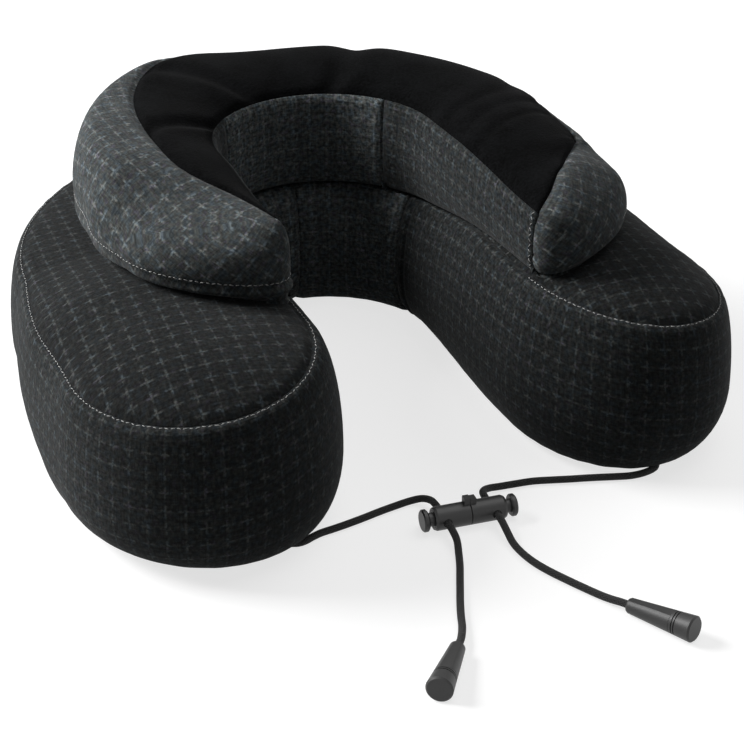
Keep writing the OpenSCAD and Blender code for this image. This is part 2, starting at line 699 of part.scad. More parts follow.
right_route = [
    [90.5, -122, 1.5], [86, -123.2, 1.5], [81, -123.3, 1.5], [76, -122.3, 1.5],
    [71, -121.1, 1.5], [64.5, -119.6, 1.5], [57.5, -118.2, 1.5], [50.5, -116.6, 1.5],
    [43.5, -115.2, 1.5], [36.5, -114.9, 1.5], [30, -115.2, 1.8],
    [24.5, -116.7, 2.9], [21.1, -119.8, 4.1], [20.1, -123.8, 4.7], [20.1, -127.8, 4.7], [20.1, -132.8, 4.7],
    [20.1, -137.8, 4.7], [20.1, -141.8, 4.6], [20.1, -146.8, 3.4], [20.3, -152.8, 1.8], [21.3, -159.8, 1.5],
    [23.3, -166.8, 1.5], [26.3, -173.4, 1.5], [29.9, -179.8, 1.5], [33.7, -186.2, 1.5],
    [37.5, -192.4, 1.6], [39.9, -196.3, 2], [41.8, -199.3, 2.55], [43.7, -202.3, 2.85],
    [45.8, -205.7, 3.1]
];
left_heading = 236;
right_heading = 302;
module left_cord() { color("black") tube(left_route, cord_d/2, 8); }
module right_cord() { color("black") tube(right_route, cord_d/2, 8); }

// Cord ends: tapered shells lying on their sides, closed by a lid over the knot
end_l = end_shell_l + end_lid_l;
end_tilt = asin((end_d2 - end_d1)/2/end_l);
end_cord_l = 4;
knot_room = 0.3;
end_cord_hole = cord_d + 2*knot_room;
end_edge = 0.6;
flat_cut = 0.25;
flat_deep = 0.55;
function end_d(x) = end_d1 + (end_d2 - end_d1)*x/end_l;
spigot_d = end_d(end_shell_l) - 2*end_wall - 2*seat_gap;
spigot_l = 3;
// The cord's last point is the place where it enters the shell's mouth
module on_end(tip, heading_a) {
    translate([tip.x, tip.y, end_d1/2*cos(end_tilt) + end_cord_l*sin(end_tilt) + 0.05])
        rotate([0, 90 - end_tilt, heading_a]) translate([0, 0, -end_cord_l]) children();
}
module cord_end() {
    flat_tilt = atan((end_d(end_shell_l)/2 - flat_deep - end_d(0)/2 + flat_cut)/end_shell_l);
    difference() {
        union() {
            cylinder(d1 = end_d(0) - end_edge, d2 = end_d(end_edge), h = end_edge);
            translate([0, 0, end_edge])
                cylinder(d1 = end_d(end_edge), d2 = end_d(end_shell_l), h = end_shell_l - end_edge);
        }
        translate([flat_cut - end_d(0)/2, 0, 0]) rotate([0, -flat_tilt, 0])
            translate([-end_d2, -end_d2, -1]) cube([end_d2, 2*end_d2, end_l]);
        translate([0, 0, -1]) cylinder(d = end_cord_hole, h = end_shell_l);
        translate([0, 0, end_cord_l + knot_room]) cylinder(
            d1 = knot_d + 2*knot_room, d2 = spigot_d + 2*seat_gap,
            h = end_shell_l - end_cord_l - knot_room - spigot_l - seat_gap);
        translate([0, 0, end_shell_l - spigot_l - 2*seat_gap])
            cylinder(d = spigot_d + 2*seat_gap, h = spigot_l + 1);
    }
}
module end_lid() {
    ring_z = [1, 2];
    ring_w = 0.4;
    translate([0, 0, end_shell_l + seat_gap]) {
        difference() {
            cylinder(d1 = end_d(end_shell_l), d2 = end_d(end_l), h = end_lid_l - end_edge);
            for (z = ring_z) translate([0, 0, z]) difference() {
                cylinder(d = 2*end_d2, h = ring_w);
                translate([0, 0, -1]) cylinder(d = end_d(end_shell_l) - 2*ring_w, h = 2 + ring_w);
            }
        }
        translate([0, 0, end_lid_l - end_edge])
            cylinder(d1 = end_d(end_l), d2 = end_d(end_l) - 2*end_edge, h = end_edge);
        translate([0, 0, -spigot_l]) cylinder(d = spigot_d, h = spigot_l + 1);
    }
}
module knot() {
    l = knot_d*0.9;
    translate([0, 0, end_cord_l + 2*knot_room]) rotate_extrude() polygon([
        [0, 0], [knot_d*0.36, 0], [knot_d/2, l*0.3], [knot_d/2, l*0.7], [knot_d*0.36, l], [0, l]]);
}
module left_cord_end() {
    color("dimgray") on_end(left_route[len(left_route) - 1], left_heading) cord_end();
}
module right_cord_end() {
    color("dimgray") on_end(right_route[len(right_route) - 1], right_heading) cord_end();
}
module left_end_lid() {
    color("dimgray") on_end(left_route[len(left_route) - 1], left_heading) end_lid();
}
module right_end_lid() {
    color("dimgray") on_end(right_route[len(right_route) - 1], right_heading) end_lid();
}
module left_knot() { color("black") on_end(left_route[len(left_route) - 1], left_heading) knot(); }
module right_knot() { color("black") on_end(right_route[len(right_route) - 1], right_heading) knot(); }

lower_foam();
upper_foam();
base_panel();
lower_top_panel();
left_side_band();
right_side_band();
upper_back_band();
lower_back_band();
left_neck_panel();
right_neck_panel();
plush_top_panel();
left_roll_side();
right_roll_side();
roll_neck_panel();
left_roll_neck();
right_roll_neck();
zip_tapes();
zip_coil();
zip_stops();
zip_slider();
zip_pull();
left_clasp_half();
right_clasp_half();
left_button();
right_button();
left_spring();
right_spring();
left_cord();
right_cord();
left_cord_end();
right_cord_end();
left_end_lid();
right_end_lid();
left_knot();
right_knot();
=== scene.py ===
# %% [markdown]
# # A travel neck pillow in check cloth and plush
#
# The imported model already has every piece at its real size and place. This lesson dresses it:
# the sewn cover is worked out again as smooth surfaces, swollen by a short cloth simulation,
# stitched along its seams and finished in woven cloth, while the small plastic and metal
# fittings keep their own solids and get a finish only.

import bpy
import numpy as np
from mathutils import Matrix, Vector


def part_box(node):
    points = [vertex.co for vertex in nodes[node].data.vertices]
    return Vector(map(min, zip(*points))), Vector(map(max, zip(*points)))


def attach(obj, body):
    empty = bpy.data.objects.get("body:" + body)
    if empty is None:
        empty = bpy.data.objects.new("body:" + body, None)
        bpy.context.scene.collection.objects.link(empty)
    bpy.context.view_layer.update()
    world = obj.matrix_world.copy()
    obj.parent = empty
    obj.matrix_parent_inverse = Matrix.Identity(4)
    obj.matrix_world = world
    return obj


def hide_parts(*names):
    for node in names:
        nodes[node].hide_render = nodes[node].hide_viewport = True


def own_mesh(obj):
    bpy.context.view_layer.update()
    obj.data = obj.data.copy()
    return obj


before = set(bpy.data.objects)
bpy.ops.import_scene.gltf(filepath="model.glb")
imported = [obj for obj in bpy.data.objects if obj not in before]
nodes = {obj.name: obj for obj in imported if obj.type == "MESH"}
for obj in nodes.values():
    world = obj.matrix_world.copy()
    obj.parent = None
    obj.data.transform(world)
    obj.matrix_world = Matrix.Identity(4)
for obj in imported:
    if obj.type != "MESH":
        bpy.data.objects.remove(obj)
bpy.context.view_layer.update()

MM = 0.001
scene = bpy.context.scene

# %% [markdown]
# ## Camera
#
# The pillow is seen from the front, a little from its left and from above, with a long lens.
# A camera can be aimed by hand; this one was fitted to the places of seams, cords and clasp.
# The small shift only centres the picture as the photograph is framed.

# %% Camera
eye = Vector((-0.22304, -0.71530, 0.41374))
aim = Vector((0.00074, -0.03146, 0.055))
lens = bpy.data.cameras.new("front_view")
lens.lens = 96.2
lens.sensor_width = 36
lens.shift_x = 0.0162
lens.shift_y = -0.1226
camera = bpy.data.objects.new("front_view", lens)
camera.location = eye
camera.rotation_euler = (aim - eye).to_track_quat("-Z", "Y").to_euler()
scene.collection.objects.link(camera)
scene.camera = camera
print("camera at", [round(x, 3) for x in eye])

# %% [markdown]
# ## Meshes from whole arrays
#
# Every soft piece below is a grid of points. Two helpers turn grids into meshes: one welds the
# points that fall together, at the poles and along a closed seam, and drops the faces that have
# shrunk to a line; the other links the result, with a cloth map in millimetres where a pattern
# has to follow the surface.


# %% Mesh helpers
WELD = 2e-6


def grid_faces(rows, cols, wrap=False):
    """Two triangles for each cell of a grid that is numbered row by row.

    wrap joins the last row to the first.
    """
    i = np.arange(rows if wrap else rows - 1)[:, None]
    j = np.arange(cols - 1)[None, :]
    a, d = i*cols + j, ((i + 1) % rows)*cols + j
    return np.stack([a, d + 1, a + 1, a, d, d + 1], -1).reshape(-1, 3)


def welded(points, faces, island=None):
    """Gives points that fall together one number and finds the triangles that stay whole.

    Returns the points to keep, every point's new number, the renumbered triangles that still
    have three corners, and a mark for each of the old ones. Points of two islands stay apart.
    """
    key = np.round(points/WELD).astype(np.int64)
    key = key if island is None else np.column_stack([key, island])
    _, first, same = np.unique(key, axis=0, return_index=True, return_inverse=True)
    same = same.reshape(-1)
    a, b, c = same[faces].T
    whole = (a != b) & (b != c) & (c != a)
    return first, same, same[faces][whole], whole


def make_mesh(name, points, faces, cloth_map=None, material=None, weld=True):
    """Puts points in metres and triangles into a new object; coincident points become one."""
    points = np.asarray(points, float).reshape(-1, 3)
    corner_map = None
    if cloth_map is not None:
        corner_map = np.asarray(cloth_map, float).reshape(-1, 2)[faces]
    if weld:
        first, _, faces, whole = welded(points, faces)
        points = points[first]
        corner_map = None if corner_map is None else corner_map[whole]
    mesh = bpy.data.meshes.new(name)
    mesh.vertices.add(len(points))
    mesh.vertices.foreach_set("co", points.astype(np.float32).ravel())
    mesh.loops.add(3*len(faces))
    mesh.loops.foreach_set("vertex_index", faces.astype(np.int32).ravel())
    mesh.polygons.add(len(faces))
    mesh.polygons.foreach_set("loop_start", np.arange(0, 3*len(faces), 3, dtype=np.int32))
    mesh.polygons.foreach_set("use_smooth", np.ones(len(faces), dtype=bool))
    if corner_map is not None:
        layer = mesh.uv_layers.new(name="cloth")
        layer.data.foreach_set("uv", corner_map.astype(np.float32).ravel())
    mesh.update(calc_edges=True)
    mesh.validate()
    piece = bpy.data.objects.new(name, mesh)
    scene.collection.objects.link(piece)
    if material is not None:
        mesh.materials.append(material)
    return piece


def unit(v):
    """Vectors divided by their lengths."""
    return v/np.maximum(np.linalg.norm(v, axis=-1, keepdims=True), 1e-12)


def lengths_along(points, axis):
    """Running length of a grid's lines along one axis, from zero."""
    step = np.linalg.norm(np.diff(points, axis=axis), axis=-1)
    start = np.zeros_like(np.take(step, [0], axis=axis))
    return np.concatenate([start, np.cumsum(step, axis=axis)], axis=axis)


print("a grid of 3 by 3 points has", len(grid_faces(3, 3)), "triangles")

# %% [markdown]
# ## Drawcords
#
# Two limp braided cords come out of the base seams, run over the table, pass through the sprung
# clasp and end in tapered plastic ends. A bevelled curve would do, but a tube worked out here
# carries its own map, so that the braid follows every bend. The route repeats the points of the
# part's source, a smooth curve goes through them, and a short lead-in is hidden under the lobe.
# Behind each button of the clasp sits a small spring. Its solid is stiff, so the spring is wound
# again here.

# %% Routes in millimetres
CORD_D, LEAD_IN = 2.8, 6.0
LEAD_TURN = np.radians([15.0, 40.0])
LEFT_ROUTE = np.array([
    [-51.6, -127.1, 1.5], [-48.2, -125.4, 1.5], [-44.5, -123.9, 1.5], [-39.5, -122.8, 1.5],
    [-33.5, -121.3, 1.5], [-26.5, -119.3, 1.5], [-19.5, -117.1, 1.5], [-12.5, -115.2, 1.5],
    [-6.5, -114.2, 1.8], [-2.1, -115.4, 2.8], [0.1, -119.2, 4], [0.5, -123.8, 4.7],
    [0.5, -127.8, 4.7], [0.5, -132.8, 4.7], [0.5, -137.8, 4.7], [0.5, -141.8, 4.6],
    [0.4, -146.8, 3.4], [-1.1, -152.8, 1.8], [-3.3, -159.8, 1.5], [-5.9, -166.8, 1.5],
    [-8.5, -173.8, 1.5], [-11.1, -180.8, 1.5], [-13.5, -187.8, 1.5], [-15.6, -194.6, 1.6],
    [-18.2, -200.6, 2.2], [-20.2, -204, 2.6], [-21.8, -206.5, 2.9], [-23.9, -209.6, 3.1]])
RIGHT_ROUTE = np.array([
    [90.5, -122, 1.5], [86, -123.2, 1.5], [81, -123.3, 1.5], [76, -122.3, 1.5],
    [71, -121.1, 1.5], [64.5, -119.6, 1.5], [57.5, -118.2, 1.5], [50.5, -116.6, 1.5],
    [43.5, -115.2, 1.5], [36.5, -114.9, 1.5], [30, -115.2, 1.8],
    [24.5, -116.7, 2.9], [21.1, -119.8, 4.1], [20.1, -123.8, 4.7], [20.1, -127.8, 4.7],
    [20.1, -132.8, 4.7], [20.1, -137.8, 4.7], [20.1, -141.8, 4.6], [20.1, -146.8, 3.4],
    [20.3, -152.8, 1.8], [21.3, -159.8, 1.5], [23.3, -166.8, 1.5], [26.3, -173.4, 1.5],
    [29.9, -179.8, 1.5], [33.7, -186.2, 1.5], [37.5, -192.4, 1.6], [39.9, -196.3, 2],
    [41.8, -199.3, 2.55], [43.7, -202.3, 2.85], [45.8, -205.7, 3.1]])
print("route points:", len(LEFT_ROUTE), len(RIGHT_ROUTE))


# %% Tubes
def smooth_route(route, parts=6):
    """A curve through the points.

    Between two of them it is a cubic whose slopes are half the step between their neighbours.
    """
    ends = np.vstack([2*route[0] - route[1], route, 2*route[-1] - route[-2]])
    p0, p1, p2, p3 = (ends[k:len(ends) - 3 + k, None, :] for k in range(4))
    t = np.linspace(0, 1, parts, endpoint=False)[None, :, None]
    curve = 0.5*(2*p1 + (p2 - p0)*t + (2*p0 - 5*p1 + 4*p2 - p3)*t**2
                 + (3*p1 - p0 - 3*p2 + p3)*t**3)
    return np.vstack([curve.reshape(-1, 3), route[-1]])


def tube(path, radius, sides=14, beside=(0.0, 0.0, 1.0)):
    """Rings of a round tube across a path, set by a direction that the path never follows.

    The map of the tube is the way round it and the running length.
    """
    along = unit(np.gradient(path, axis=0))
    across = unit(np.cross(along, beside))
    up = np.cross(across, along)
    turn = np.linspace(0, 2*np.pi, sides + 1)[None, :, None]
    rings = path[:, None] + radius*(across[:, None]*np.cos(turn) + up[:, None]*np.sin(turn))
    run = lengths_along(path, 0)[:, None] + 0*turn[..., 0]
    round_way = turn[..., 0]*radius + 0*run
    return rings, np.stack([round_way, run], -1)


def capped(rings):
    """Adds the middle of the first and last ring, so that the tube's ends are closed."""
    first = np.repeat(rings[:1].mean(1, keepdims=True), rings.shape[1], 1)
    last = np.repeat(rings[-1:].mean(1, keepdims=True), rings.shape[1], 1)
    return np.concatenate([first, rings, last])


print("points on the left route's curve:", len(smooth_route(LEFT_ROUTE)))

# %% Button springs
SPRING_WIRE, SPRING_TURNS, BUTTON_TRAVEL = 0.45, 3, 2.0
TURN_PARTS, SPRING_SIDES = 28, 8


def button_spring(side):
    """A wire wound in a helix within the box of its solid.
    """
    low, high = (np.array(corner)/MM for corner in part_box(side + "_spring"))
    middle, reach = (low + high)/2, (high - low)/2 - SPRING_WIRE/2
    t = np.linspace(-1, 1, SPRING_TURNS*TURN_PARTS + 1)
    turn = np.pi*SPRING_TURNS*(t + 1)
    radius = reach[1:].max()
    path = np.stack([reach[0]*t, radius*np.cos(turn), radius*np.sin(turn)], -1) + middle
    rings = capped(tube(path, SPRING_WIRE/2, SPRING_SIDES, (1.0, 0.0, 0.0))[0])
    spring = make_mesh(side + "_button_spring", rings*MM, grid_faces(*rings.shape[:2]))
    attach(spring, "pillow")
    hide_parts(side + "_spring")
    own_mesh(spring)
    return spring


springs = {side: button_spring(side) for side in ("left", "right")}


# %% Drawcords
def make_cord(side, route):
    """One drawcord with its map."""
    inwards = 1 if side == "right" else -1
    heading = np.arctan2(*(route[0] - route[1])[1::-1]) + inwards*LEAD_TURN
    steps = LEAD_IN/2*np.stack([np.cos(heading), np.sin(heading), 0*heading], -1)
    lead_in = route[0] + np.cumsum(steps, axis=0)
    path = smooth_route(np.vstack([lead_in[::-1], route]))
    rings, cloth_map = tube(path, CORD_D/2)
    rings = capped(rings)
    cloth_map = np.concatenate([cloth_map[:1], cloth_map, cloth_map[-1:]])
    cord = make_mesh(side + "_drawcord", rings*MM, grid_faces(*rings.shape[:2]), cloth_map)
    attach(cord, "pillow")
    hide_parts(side + "_cord")
    return cord


cords = [make_cord("left", LEFT_ROUTE), make_cord("right", RIGHT_ROUTE)]

# %% [markdown]
# ## The cushion's shape
#
# A boxed U cushion is a section carried round the neck: down the outside of one arm, round the
# lobe and back along the neck. Modelling it by pushing points would lose the link with the
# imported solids, so the same rules as in the part's source are written here for whole arrays.
# A place on the cover is a side (1 right, -1 left), a length along the neck line, an angle
# (0 outside, 180 degrees on the neck side, between them round the end) and a place on the
# section: 0 to 1 over the top, to 2 down to the bulge, to 3 down to the base, to 4 under it.

# %% Sizes in millimetres
NECK_R, LEFT_TURN, RIGHT_TURN, ARM_L = 40.0, 94.0, 84.0, 92.0
BACK_T, LEFT_LOBE_W, RIGHT_LOBE_W, LOBE_END, LOBE_IN = 91.0, 107.0, 94.0, 62.0, 5.5
SEAM_BACK_Z, SEAM_LOBE_Z, SEAM_DROP, BACK_CROWN, LOBE_CROWN = 59.0, 70.0, 9.5, 2.0, 5.0
BELLY_Z, SEAM_IN, BASE_IN = 26.0, (11.5, 6.5), (12.5, 23.5)
ROLL_BACK_T, LEFT_ROLL_T, RIGHT_ROLL_T, TIP_END = 67.0, 56.0, 58.0, 22.0
ROLL_LAG, LEFT_ROLL_L, RIGHT_ROLL_L, ROLL_INSET = 33.0, 74.0, 98.0, 4.0
ROLL_BACK_Z, LEFT_TIP_Z, RIGHT_TIP_Z, LEFT_SHOULDER = 109.0, 103.0, 105.0, 8.0
PLUSH_DROP, PLUSH_IN, CREASE_IN, ROLL_GAP = 7.0, (2.5, 9.0), (3.5, 11.0), 0.7
PLUSH_BACK_U, LEFT_LEAN, ROLL_BELLY = 1.3, -0.85, 0.42
CROWN_POWER, PLUSH_POWER = 2.6, 2.2
SWELL, SWELL_IN, THIN, DIP = (0.2, 0.8), (0.35, 0.95), (0.08, 0.6), (0.54, 1.0)
SLANT, LEAN, LEFT_SWEEP, RIGHT_SWEEP = (0.45, 1.0), (0.65, 1.0), (0.0, 0.45), (0.74, 0.98)
SHOULDER_UP, SHOULDER_DOWN = (0.0, 0.15), (0.5, 1.0)
ZIP_HALF_A, ZIP_SLOT, NECK_SEAM_A, ROLL_SEAM_A = 38.0, 11.0, 65.0, 50.0
NECK_CENTRE = np.array([0.740854, 13.6069])
print("outer radius of the back:", NECK_R + BACK_T, "mm")


# %% Neck line and ramps
def ramp(ends, x):
    """Smooth step from 0 to 1 between two ends: t squared times (3 minus 2t)."""
    t = np.clip((x - ends[0])/(ends[1] - ends[0]), 0, 1)
    return t*t*(3 - 2*t)


def pick(side, left, right):
    """The left or the right value."""
    return np.where(side < 0, left, right)


def blend(a, b, t):
    """Straight mix of two values."""
    return a + (b - a)*t


def neck_arc(angle):
    """Length of the neck line's arc over an angle in degrees."""
    return NECK_R*np.radians(angle)


def turn_l(side):
    """Length of the neck line's arc on one side."""
    return neck_arc(pick(side, LEFT_TURN, RIGHT_TURN))


def arm_end(side):
    """Where the arm ends along the neck line: arc plus arm."""
    return turn_l(side) + ARM_L


def roll_end(side):
    """Where the roll ends along the neck line: arc plus its straight part."""
    return turn_l(side) + pick(side, LEFT_ROLL_L, RIGHT_ROLL_L)


def plan(side, s, w):
    """Plan point s along the neck line, an arc and then a straight arm, and w out from it."""
    a = np.minimum(s/NECK_R, np.radians(pick(side, LEFT_TURN, RIGHT_TURN)))
    e = np.maximum(0, s - turn_l(side))
    x = side*((NECK_R + w)*np.sin(a) + e*np.cos(a)) + NECK_CENTRE[0]
    y = (NECK_R + w)*np.cos(a) - e*np.sin(a) + NECK_CENTRE[1]
    return x, y


print("the arms end at", [round(float(arm_end(k)), 1) for k in (-1, 1)], "mm along the neck line")


# %% Cushion section
def half_w(side, s):
    """Half width: from the back's thickness to the lobe's width."""
    return blend(BACK_T, pick(side, LEFT_LOBE_W, RIGHT_LOBE_W), ramp(SWELL, s/arm_end(side)))/2


def mid_w(side, s):
    """Distance of the middle line from the neck line; the lobes swell inwards too."""
    return half_w(side, s) - LOBE_IN*ramp(SWELL_IN, s/arm_end(side))


def seam_z(side, s, out):
    """Height of the top seam: it rises to the lobes, less so on the outside."""
    rise = ramp(SWELL, s/arm_end(side))
    return SEAM_BACK_Z + (SEAM_LOBE_Z - SEAM_BACK_Z - SEAM_DROP*out)*rise


def crown_z(side, s):
    """Height of the top's middle line: seam plus crown, from back to lobe."""
    return blend(SEAM_BACK_Z + BACK_CROWN, SEAM_LOBE_Z + LOBE_CROWN, ramp(SWELL, s/arm_end(side)))


def quarter(u, start, end, kind):
    """Runs from start to end along a quarter sine or cosine wave as u goes from 0 to 1."""
    return blend(start, end, np.sin(np.pi/2*u) if kind == "sin" else 1 - np.cos(np.pi/2*u))


def cushion(side, s, a, u):
    """Point of the cushion's skin.

    Its radius is an ellipse's, drawn in at the seam and the base; its height is crowned on top
    and follows quarter waves down the bulging wall.
    """
    out = (1 + np.cos(a))/2
    h = half_w(side, s)
    r = np.hypot(h*np.cos(a), LOBE_END*np.sin(a))
    rs, rb = r - blend(*SEAM_IN, out), r - blend(*BASE_IN, out)
    zs, zc = seam_z(side, s, out), crown_z(side, s)
    rad = np.select([u <= 1, u <= 2, u <= 3],
                    [rs*u, quarter(u - 1, rs, r, "sin"), quarter(u - 2, r, rb, "cos")],
                    rb*(4 - u))
    z = np.select([u <= 1, u <= 2, u <= 3],
                  [zc - (zc - zs)*np.maximum(u, 0)**CROWN_POWER,
                   quarter(u - 1, zs, BELLY_Z, "cos"), quarter(u - 2, BELLY_Z, 0, "sin")], 0)
    x, y = plan(side, s + rad/r*LOBE_END*np.sin(a), mid_w(side, s) + rad/r*h*np.cos(a))
    return np.stack([x, y, z + 0*x], -1)


def cushion_top(side, s, w):
    """Height of the cushion's top at a plan place, where the roll sits."""
    b = np.minimum(s, arm_end(side))
    h = half_w(side, b)
    x, y = (w - mid_w(side, b))/h, (s - b)/LOBE_END
    a = np.arctan2(y, x)
    out = (1 + np.cos(a))/2
    r = np.hypot(h*np.cos(a), LOBE_END*np.sin(a))
    zc = crown_z(side, b)
    reach = np.minimum(1, np.hypot(x, y)*r/(r - blend(*SEAM_IN, out)))
    return zc - (zc - seam_z(side, b, out))*reach**CROWN_POWER


print("lobe widths:", [2*round(float(half_w(k, arm_end(k))), 1) for k in (-1, 1)], "mm")


# %% Roll section
def roll(side, s, a, u):
    """Point of the raised roll's skin: a crescent section with slanted rounded tips.

    It works as the cushion does; the left tip's ridge leans towards the neck.
    """
    f = s/roll_end(side)
    h = blend(ROLL_BACK_T, pick(side, LEFT_ROLL_T, RIGHT_ROLL_T), ramp(THIN, f))/2
    r = np.hypot(h*np.cos(a), TIP_END*np.sin(a))
    out = (1 + np.cos(a))/2
    lag, lean = ROLL_LAG*ramp(SLANT, f), pick(side, LEFT_LEAN, 0)*ramp(LEAN, f)
    shoulder = pick(side, LEFT_SHOULDER, 0)*ramp(SHOULDER_UP, f)*(1 - ramp(SHOULDER_DOWN, f))

    def place(x):
        across = x*np.cos(a) + (1 - x)*lean
        return s + x*TIP_END*np.sin(a) - lag*(1 + across)/2, ROLL_INSET + h + h*across

    rs, rc = r - blend(*PLUSH_IN, out), r - blend(*CREASE_IN, out)
    zt = blend(ROLL_BACK_Z, pick(side, LEFT_TIP_Z, RIGHT_TIP_Z), ramp(DIP, f))
    zs = zt - PLUSH_DROP + shoulder*out
    zc = cushion_top(side, *place(rc/r)) + ROLL_GAP
    zb = blend(zc, zs, ROLL_BELLY)
    rad = np.select([u <= 1, u <= 2, u <= 3],
                    [rs*u, quarter(u - 1, rs, r, "sin"), quarter(u - 2, r, rc, "cos")],
                    rc*(4 - u))
    at = place(rad/r)
    z = np.select([u <= 1, u <= 2, u <= 3],
                  [zt - (zt - zs)*np.maximum(u, 0)**PLUSH_POWER, quarter(u - 1, zs, zb, "cos"),
                   quarter(u - 2, zb, zc, "sin")], cushion_top(side, *at) + ROLL_GAP)
    x, y = plan(side, *at)
    return np.stack([x, y, z + 0*x], -1)


def plush_edge(side, s):
    """Place on the section where the plush ends on the outside; it sweeps up to the ridge."""
    f = s/roll_end(side)
    straight = np.clip((f - RIGHT_SWEEP[0])/(RIGHT_SWEEP[1] - RIGHT_SWEEP[0]), 0, 1)
    return PLUSH_BACK_U*(1 - pick(side, ramp(LEFT_SWEEP, f), straight))


print("the roll ends at", [round(float(roll_end(k)), 1) for k in (-1, 1)], "mm along the neck line")

# %% [markdown]
# ## Panels
#
# The cover is cut as the real one is: each panel is its own grid, with a line of points on every
# seam. A station is one line of the grid, across the panel; stations lie closer on the bend, where
# the outside is three times as long as the neck line.


# %% Runs and station lists
def run(start, end, step):
    """Evenly spaced lengths from start to end, about step apart."""
    return np.linspace(start, end, int(np.ceil(abs(end - start)/step)) + 1)


def chain(*runs):
    """Runs joined end to end, without the doubled joints."""
    return np.concatenate([runs[0]] + [r[1:] for r in runs[1:]])


def stations(side, s, a):
    """Three equal arrays for side, length and angle."""
    s, a = np.broadcast_arrays(np.asarray(s, float), np.asarray(a, float))
    return np.full(s.shape, float(side)), s, a


def join(*parts):
    """Station lists one after another, without the doubled joints."""
    return tuple(chain(*(part[k] for part in parts)) for k in range(3))


def back(part):
    """A station list in the other direction."""
    return tuple(x[::-1] for x in part)


print("stations of a short chain:", chain(run(0, 1, 0.5), run(1, 2, 0.5)).tolist())

# %% Stations of the cushion
BEND_STEP, ARM_STEP, END_STEPS = 0.9, 2.4, 64
NECK_STEP, ROLL_NECK_STEP = BEND_STEP*1.6, BEND_STEP*1.4
ZIP_S, NECK_S, ROLL_S = (float(neck_arc(x)) for x in (ZIP_HALF_A, NECK_SEAM_A, ROLL_SEAM_A))
END_TURN = np.linspace(0, np.pi, END_STEPS + 1)


def arm_run(side, start, end_of):
    """Lengths from start round the bend and along the arm."""
    return chain(run(start, float(turn_l(side)), BEND_STEP),
                 run(float(turn_l(side)), float(end_of(side)), ARM_STEP))


def eased(n, low, high, pull=0.13):
    """n section places from low to high that crowd towards both ends."""
    t = np.linspace(0, 1, n)
    return low + (high - low)*(t - pull*np.sin(2*np.pi*t))


zip_hi = 1 + np.arccos(ZIP_SLOT/2/(SEAM_BACK_Z - BELLY_Z))/(np.pi/2)
zip_lo = 2 + np.arcsin(ZIP_SLOT/2/BELLY_Z)/(np.pi/2)


def lobe_round(side):
    """Stations of one arm: outside from the middle of the back, round the lobe, along the neck."""
    s = arm_run(side, 0.0, arm_end)
    return join(stations(side, s, 0), stations(side, s[-1], END_TURN),
                stations(side, s[::-1], np.pi))


def band_round(side):
    """Stations of a side band, from the zip's end round the lobe to the neck seam."""
    return join(stations(side, arm_run(side, ZIP_S, arm_end), 0),
                stations(side, float(arm_end(side)), END_TURN),
                stations(side, arm_run(side, NECK_S, arm_end)[::-1], np.pi))


def whole_loop():
    """Stations right round the cushion, without the doubled last one."""
    loop = join(lobe_round(1), back(lobe_round(-1)))
    return tuple(x[:-1] for x in loop)


def evaluate(shape, where, lines):
    """Grid of a shape: a row for each station, a column for each section place.

    The places are one list for all stations, or one list a station.
    """
    side, s, a = (x[:, None] for x in where)
    return shape(side, s, a, np.broadcast_to(lines, (len(where[0]), np.shape(lines)[-1])))


print("stations round the cushion:", len(whole_loop()[0]))


# %% [markdown]
# Each panel remembers its grid, its map and which of its borders are sewn. Outward normals come
# from the grid itself, turned away from the middle of the stuffing.


# %% Panel records
def grid_normals(points, wrap):
    """Cross product of the steps along both directions of a grid, made unit length."""
    if wrap:
        rows = np.roll(points, -1, 0) - np.roll(points, 1, 0)
    else:
        rows = np.gradient(points, axis=0)
    cols = np.gradient(points, axis=1)
    normal = np.cross(rows, cols)
    size = np.linalg.norm(normal, axis=-1, keepdims=True)
    weak = size < 1e-6*size.max()
    filled = np.where(weak, np.roll(normal, -1, 1), normal)
    return unit(filled)


def panel(name, node, shape, where, lines, wrap=False, flip=False, cloth_map=None, **facts):
    """One panel of the cover: its grid in millimetres, turned so that the faces look outwards."""
    if flip:
        where = back(where)
        lines = lines[::-1] if np.ndim(lines) == 2 else lines
    points = evaluate(shape, where, lines)
    if cloth_map is None:
        middle = points.shape[1]//2
        along = lengths_along(points[:, [middle]], 0)
        across = lengths_along(points, 1)
        cloth_map = np.stack(np.broadcast_arrays(along, across.mean(0) if wrap else across), -1)
    else:
        cloth_map = cloth_map(points)
    return dict(name=name, node=node, shape=shape, points=points, where=where, wrap=wrap,
                cloth_map=cloth_map, lines=lines, **facts)


def both(maker):
    """The same panel for the left and the right side."""
    return [maker(-1, "left"), maker(1, "right")]


def section_place(p):
    """Section place of every point of a panel."""
    return evaluate(lambda side, s, a, u: u, p["where"], p["lines"])


print("normal of a flat grid:", grid_normals(np.stack(np.broadcast_arrays(
    np.arange(3.0)[:, None], np.arange(3.0), 0.0), -1), False)[1, 1])

# %% Cushion panels
TOP_LINES, TOP_CROWDING, WALL_LINES, STRIP_LINES, NECK_LINES = 20, 1.6, 44, 18, 36
top_lines = 1 - (1 - np.linspace(0, 1, TOP_LINES))**TOP_CROWDING
wall_lines = eased(WALL_LINES, 1, 3)


def from_above(points):
    """Map of a flat panel: its plan."""
    return points[..., :2]


